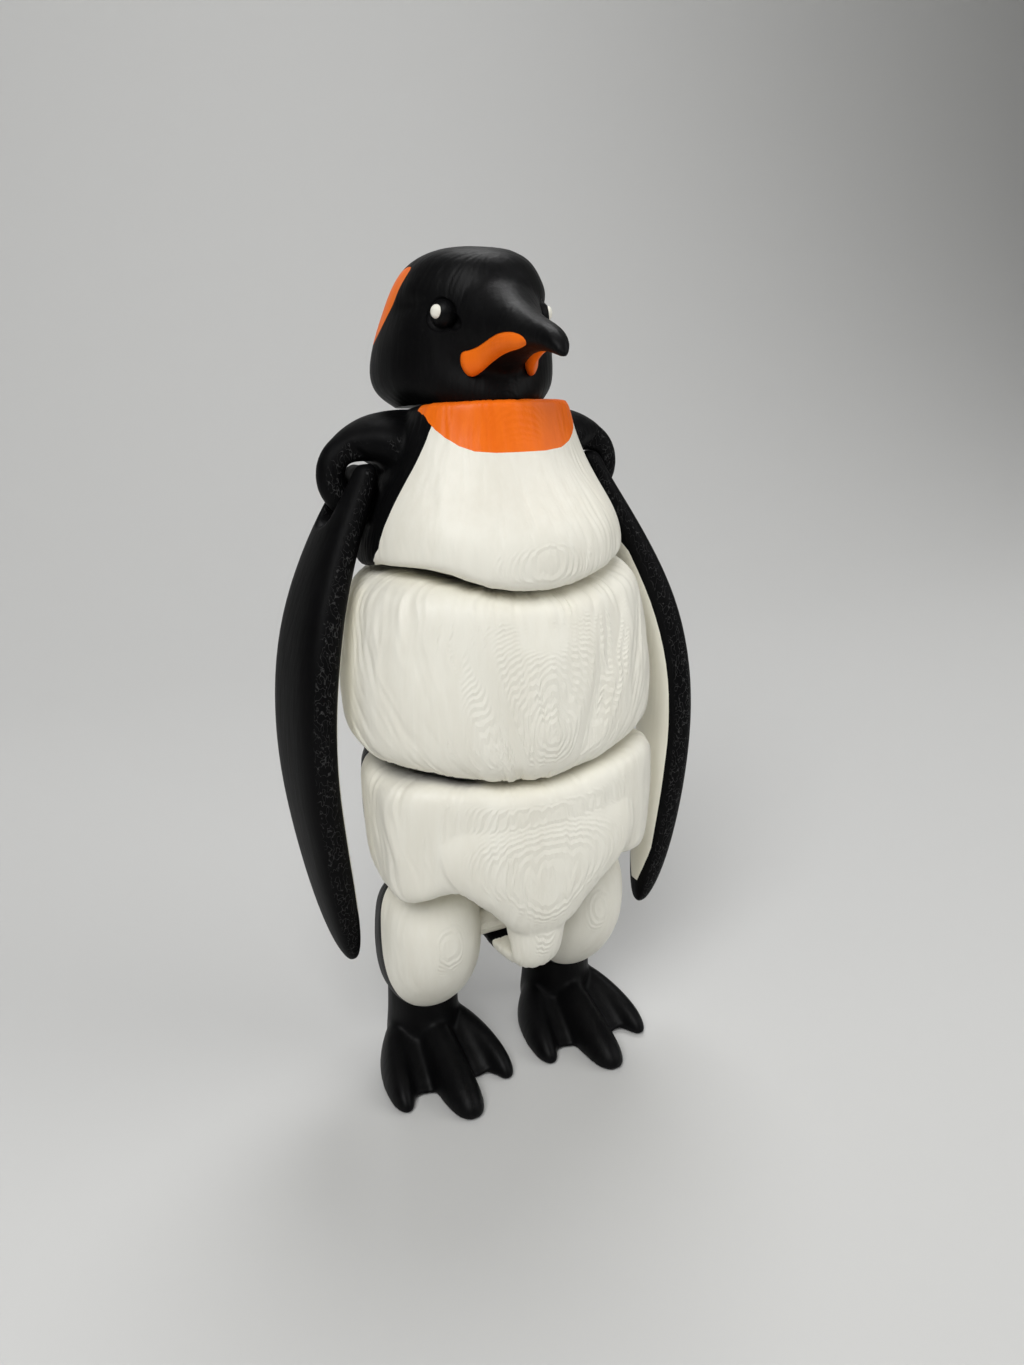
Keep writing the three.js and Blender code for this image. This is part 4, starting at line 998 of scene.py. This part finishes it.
for forward, half_width, top, bottom in BILL:
    ring = []
    for angle in around(16):
        z = HEAD_FOOT + (top + bottom) / 2 + (top - bottom) / 2 * math.sin(angle)
        ring.append(at(half_width * math.cos(angle), -forward, z))
    bill_rings.append(ring)


def pebble(name, centre, half, turn_z=0.0, turn_x=0.0):
    """A smooth rounded lump."""
    bpy.ops.object.select_all(action="DESELECT")
    bpy.ops.mesh.primitive_uv_sphere_add(segments=24, ring_count=16, radius=0.001, location=centre)
    lump = bpy.context.object
    lump.name = name
    lump.scale = half
    lump.rotation_euler = (turn_x, 0, turn_z)
    bpy.ops.object.transform_apply(location=True, rotation=True, scale=True)
    return modified(lump, "SUBSURF", levels=1, render_levels=1)


fused(joined(head, ringed("bill", bill_rings, 2)), grain=0.8, rounds=7)
bill_root = head.vertex_groups.new(name="bill_root")
for point in head.data.vertices:
    y = own(point.co)[1]
    bill_root.add([point.index], eased(y, -15, -9) * (1 - eased(y, 3, 9)), "REPLACE")
modified(head, "SMOOTH", factor=0.5, iterations=24, vertex_group="bill_root")
fused(head, grain=0.42, rounds=4)


def head_relief(x, y, z, ny):
    """Faint feather strokes, and a fold behind each eye between a full brow and a full cheek."""
    rise = z - HEAD_FOOT
    brow = 0.35 * mound(rise, 22.6, 2.2)
    fold = 0.7 * mound(rise, 18.8, 1.7)
    cheek = 0.3 * mound(rise, 13, 3)
    near = min(1, max(0, (abs(x) - 6) / 5)) * mound(y, 9, 5)
    feathers = 0.14 * strokes(x, y, z, HEAD_FOOT, HEAD_TALL, gather=0)
    return feathers + (brow + cheek - fold) * near


pressed(head, head_relief)
slope = math.tan(NECK_TILT)
nape_z, throat_z = HEAD_FOOT - slope * (FAR - THROAT_Y), HEAD_FOOT + slope * (FAR + THROAT_Y)
under_head = [(-FAR, 140), (FAR, 140), (FAR, nape_z), (-FAR, throat_z)]
cut(head, slab("under_head", under_head, -FAR, FAR, "x"))
stud_rings = []
STUD_Y = 12
# height above the neck joint, radius
STUD = [(-4, 5.4), (6.05, 5.4), (6.1, 8.9), (10.4, 8.9)]
stud_foot = at(0, STUD_Y, HEAD_FOOT + neck_drop(0, STUD_Y))
stud_lean = Matrix.Rotation(-NECK_TILT, 3, "X")
for z, radius in STUD:
    ring = [Vector((radius * math.cos(a), radius * math.sin(a), z)) / 1000 for a in around(32)]
    stud_rings.append([stud_foot + stud_lean @ place for place in ring])
cut(head, ringed("stud_hole", stud_rings, 0))
EYE_X, EYE_Y, EYE_RISE, EYE_TURN = 13.6, 2.2, 17.4, math.radians(42)
EYE_HOLLOW, EYE_CORNER = (2.3, 4.2, 4.1), (2.3, 3.4, 1.9)
EYE_BALL, BALL_SUNK, EYE_SPOT, SPOT_PROUD = (3.1, 3.2, 3.2), 2.5, (0.9, 1.4, 1.5), 0.4
# distance out, place from front to back, rise above the foot
PLATE = [(8.9, 0.2, 6.4), (7.1, -2.2, 7.4), (5.5, -6, 9.4), (4.4, -12.4, 11.3), (3, -20.8, 11.7)]
PLATE_HALF_TALL, PLATE_TAPER, PLATE_HALF_THICK = 3.8, 1.9, 1.7
# place from front to back, rise above the foot
PATCH = [(13.4, 26.8), (15.6, 20.5), (19.4, 14.5), (24.4, 10.6), (27, 15.5), (22.6, 24.6)]


def closed_curve(points, steps):
    """A smooth closed line through a few points."""
    line = []
    for i in range(len(points)):
        p, q, r, s = (Vector(points[(i + k) % len(points)]) for k in (-1, 0, 1, 2))
        for step in range(steps):
            t = step / steps
            bend = 2 * p - 5 * q + 4 * r - s
            line.append(q + 0.5 * t * (r - p + t * (bend + t * (3 * q - p - 3 * r + s))))
    return line


def plate_rings(side, grow):
    """A bill plate's sections along its path, tapered to round ends and grown by a clearance."""
    path = [(i, *point) for i, point in enumerate(PLATE)]
    rings = []
    for step in range(13):
        t = step / 12
        x, y, rise = between(path, 4 * t)
        ahead = Vector(between(path, min(4, 4 * t + 0.05)))
        along = (ahead - Vector(between(path, max(0, 4 * t - 0.05)))).normalized()
        out = Vector((0, 0, 1)).cross(along).normalized()
        up = along.cross(out).normalized()
        end = max(0.28, math.sqrt(1 - (2 * t - 1) ** 6))
        tall = (PLATE_HALF_TALL - PLATE_TAPER * t) * end + grow
        thick = PLATE_HALF_THICK * end + grow
        ring = []
        for angle in around(12):
            offset = up * (tall * math.sin(angle)) + out * (thick * math.cos(angle))
            place = Vector((x, y, rise)) + offset
            ring.append(at(side * place.x, place.y, HEAD_FOOT + place.z))
        rings.append(ring)
    return rings


for name, side in (("right", -1), ("left", 1)):
    outward = Vector((side * math.cos(EYE_TURN), -math.sin(EYE_TURN), 0))
    eye_at = Vector((side * EYE_X, EYE_Y, HEAD_FOOT + EYE_RISE))
    ball_at = eye_at - outward * BALL_SUNK
    spot_at = ball_at + outward * (EYE_BALL[0] + SPOT_PROUD - EYE_SPOT[0])
    turn = -side * EYE_TURN
    ahead_of_eye = Vector((-side * math.sin(EYE_TURN), -math.cos(EYE_TURN), -0.6))
    cut(head, pebble("eye_hollow", at(*(eye_at + ahead_of_eye * 0.6)), EYE_HOLLOW, turn))
    corner_at = eye_at + ahead_of_eye * 3.2 - outward * 0.8
    cut(head, pebble("eye_corner", at(*corner_at), EYE_CORNER, turn, 0.3))
    cut(head, pebble("eye_ball", at(*(ball_at + ahead_of_eye * 0.6)), EYE_BALL), "UNION")
    spot = pebble(f"{name}_white_eye_spot", at(*spot_at), EYE_SPOT, turn)
    dress(spot, white_plastic, "head", f"{name}_eye")
    cut(head, ringed("plate_seat", plate_rings(side, 0.15), 1))
    plate = ringed(f"{name}_orange_bill_plate", plate_rings(side, 0), 2)
    dress(plate, orange_plastic, "head", f"{name}_bill_plate")
    patch_outline = [(y, HEAD_FOOT + rise) for y, rise in closed_curve(PATCH, 6)]
    patch_shape = slab("patch_shape", patch_outline, side * 9, side * 40, "x")
    patch = cut(twin(head, f"{name}_orange_ear_patch"), patch_shape, "INTERSECT", True)
    cut(head, patch_shape)
    dress(patch, orange_plastic, "head", f"{name}_ear_patch")
dress(head, black_plastic, "head", "head_shell")

# Hidden links. The tongues and pins of the two waist joints and the neck stud are plain black prints
# that show only as slivers in the seams, so the printed bodies themselves stay.
for node in ("lower_waist_pin", "belly_tongue", "upper_waist_pin", "chest_tongue", "neck_stud"):
    link = frame["nodes"][node]
    link.data.materials.clear()
    link.data.materials.append(black_plastic)

# Studio. A pale sweep of floor under soft lamps, and the camera at the height of the head, off to
# the figure's right, where the photograph was taken from.
bpy.ops.object.select_all(action="DESELECT")
bpy.ops.mesh.primitive_plane_add(size=6, location=(0, -2.65, -0.0002))
floor = bpy.context.object
floor.name = "pale_floor"
bpy.ops.object.transform_apply(location=True, rotation=True, scale=True)
bpy.ops.object.mode_set(mode="EDIT")
bpy.ops.mesh.select_mode(type="EDGE")
sweep = bmesh.from_edit_mesh(floor.data)
for edge in sweep.edges:
    edge.select_set(all(corner.co.y > 0.3 for corner in edge.verts))
bmesh.update_edit_mesh(floor.data)
SWEEP_RADIUS = 0.6
for step in range(12):
    low, high = math.pi / 24 * step, math.pi / 24 * (step + 1)
    back = SWEEP_RADIUS * (math.sin(high) - math.sin(low))
    up = SWEEP_RADIUS * (math.cos(low) - math.cos(high))
    bpy.ops.mesh.extrude_region_move(TRANSFORM_OT_translate={"value": (0, back, up)})
bpy.ops.mesh.extrude_region_move(TRANSFORM_OT_translate={"value": (0, 0, 2)})
bpy.ops.object.mode_set(mode="OBJECT")
bpy.ops.object.shade_smooth()
paper = Finish("pale_paper")
grain = mottle(paper, paper.node("ShaderNodeTexCoord", {}, {}, "Object"), (1, 1, 1), 900, 3)
paper.feed(paper.shader.inputs["Roughness"], 0.8 + (grain - 0.5) * 0.1)
paper.feed(paper.shader.inputs["Base Color"], (0.62, 0.62, 0.61, 1))
floor.data.materials.append(paper.material)


LAMP_AIM = Vector((0, 0, 0.1))


def soft_lamp(name, place, size, power):
    """A round lamp, as wide as its size, turned towards the figure."""
    bpy.ops.object.light_add(type="AREA", location=place)
    lamp = bpy.context.object
    lamp.name = name
    lamp.data.shape = "DISK"
    lamp.data.size = size
    lamp.data.energy = power
    lamp.rotation_euler = (LAMP_AIM - Vector(place)).to_track_quat("-Z", "Y").to_euler()


soft_lamp("key_lamp", (-0.42, -0.5, 0.76), size=0.6, power=6.4)
soft_lamp("fill_lamp", (0.9, -0.6, 0.7), size=1.0, power=5)
soft_lamp("back_lamp", (0.3, 0.5, 1.2), size=0.6, power=6)
sky = bpy.data.worlds.new("soft_sky")
sky.use_nodes = True
sky_light = sky.node_tree.nodes["Background"].inputs
sky_light["Color"].default_value = (0.62, 0.63, 0.64, 1)
sky_light["Strength"].default_value = 0.36
bpy.context.scene.world = sky
bpy.context.scene.view_settings.view_transform = "Standard"
lens = bpy.data.cameras.new("photo_camera")
camera = bpy.data.objects.new("photo_camera", lens)
bpy.context.scene.collection.objects.link(camera)
CAMERA_X, CAMERA_Y, CAMERA_Z = -103.7, -213.3, 181
CAMERA_TURN, CAMERA_TIP = math.radians(-26.667), math.radians(18.411)
level_reach = math.cos(CAMERA_TIP)
ahead = Vector(
    (-math.sin(CAMERA_TURN) * level_reach, math.cos(CAMERA_TURN) * level_reach, -math.sin(CAMERA_TIP))
)
across = Vector((math.cos(CAMERA_TURN), math.sin(CAMERA_TURN), 0))
facing = Matrix((across, across.cross(ahead), -ahead)).transposed().to_4x4()
camera.matrix_world = Matrix.Translation(at(CAMERA_X, CAMERA_Y, CAMERA_Z)) @ facing
lens.sensor_width = 36
lens.lens = 26.9
lens.clip_start = 0.01
bpy.context.scene.camera = camera
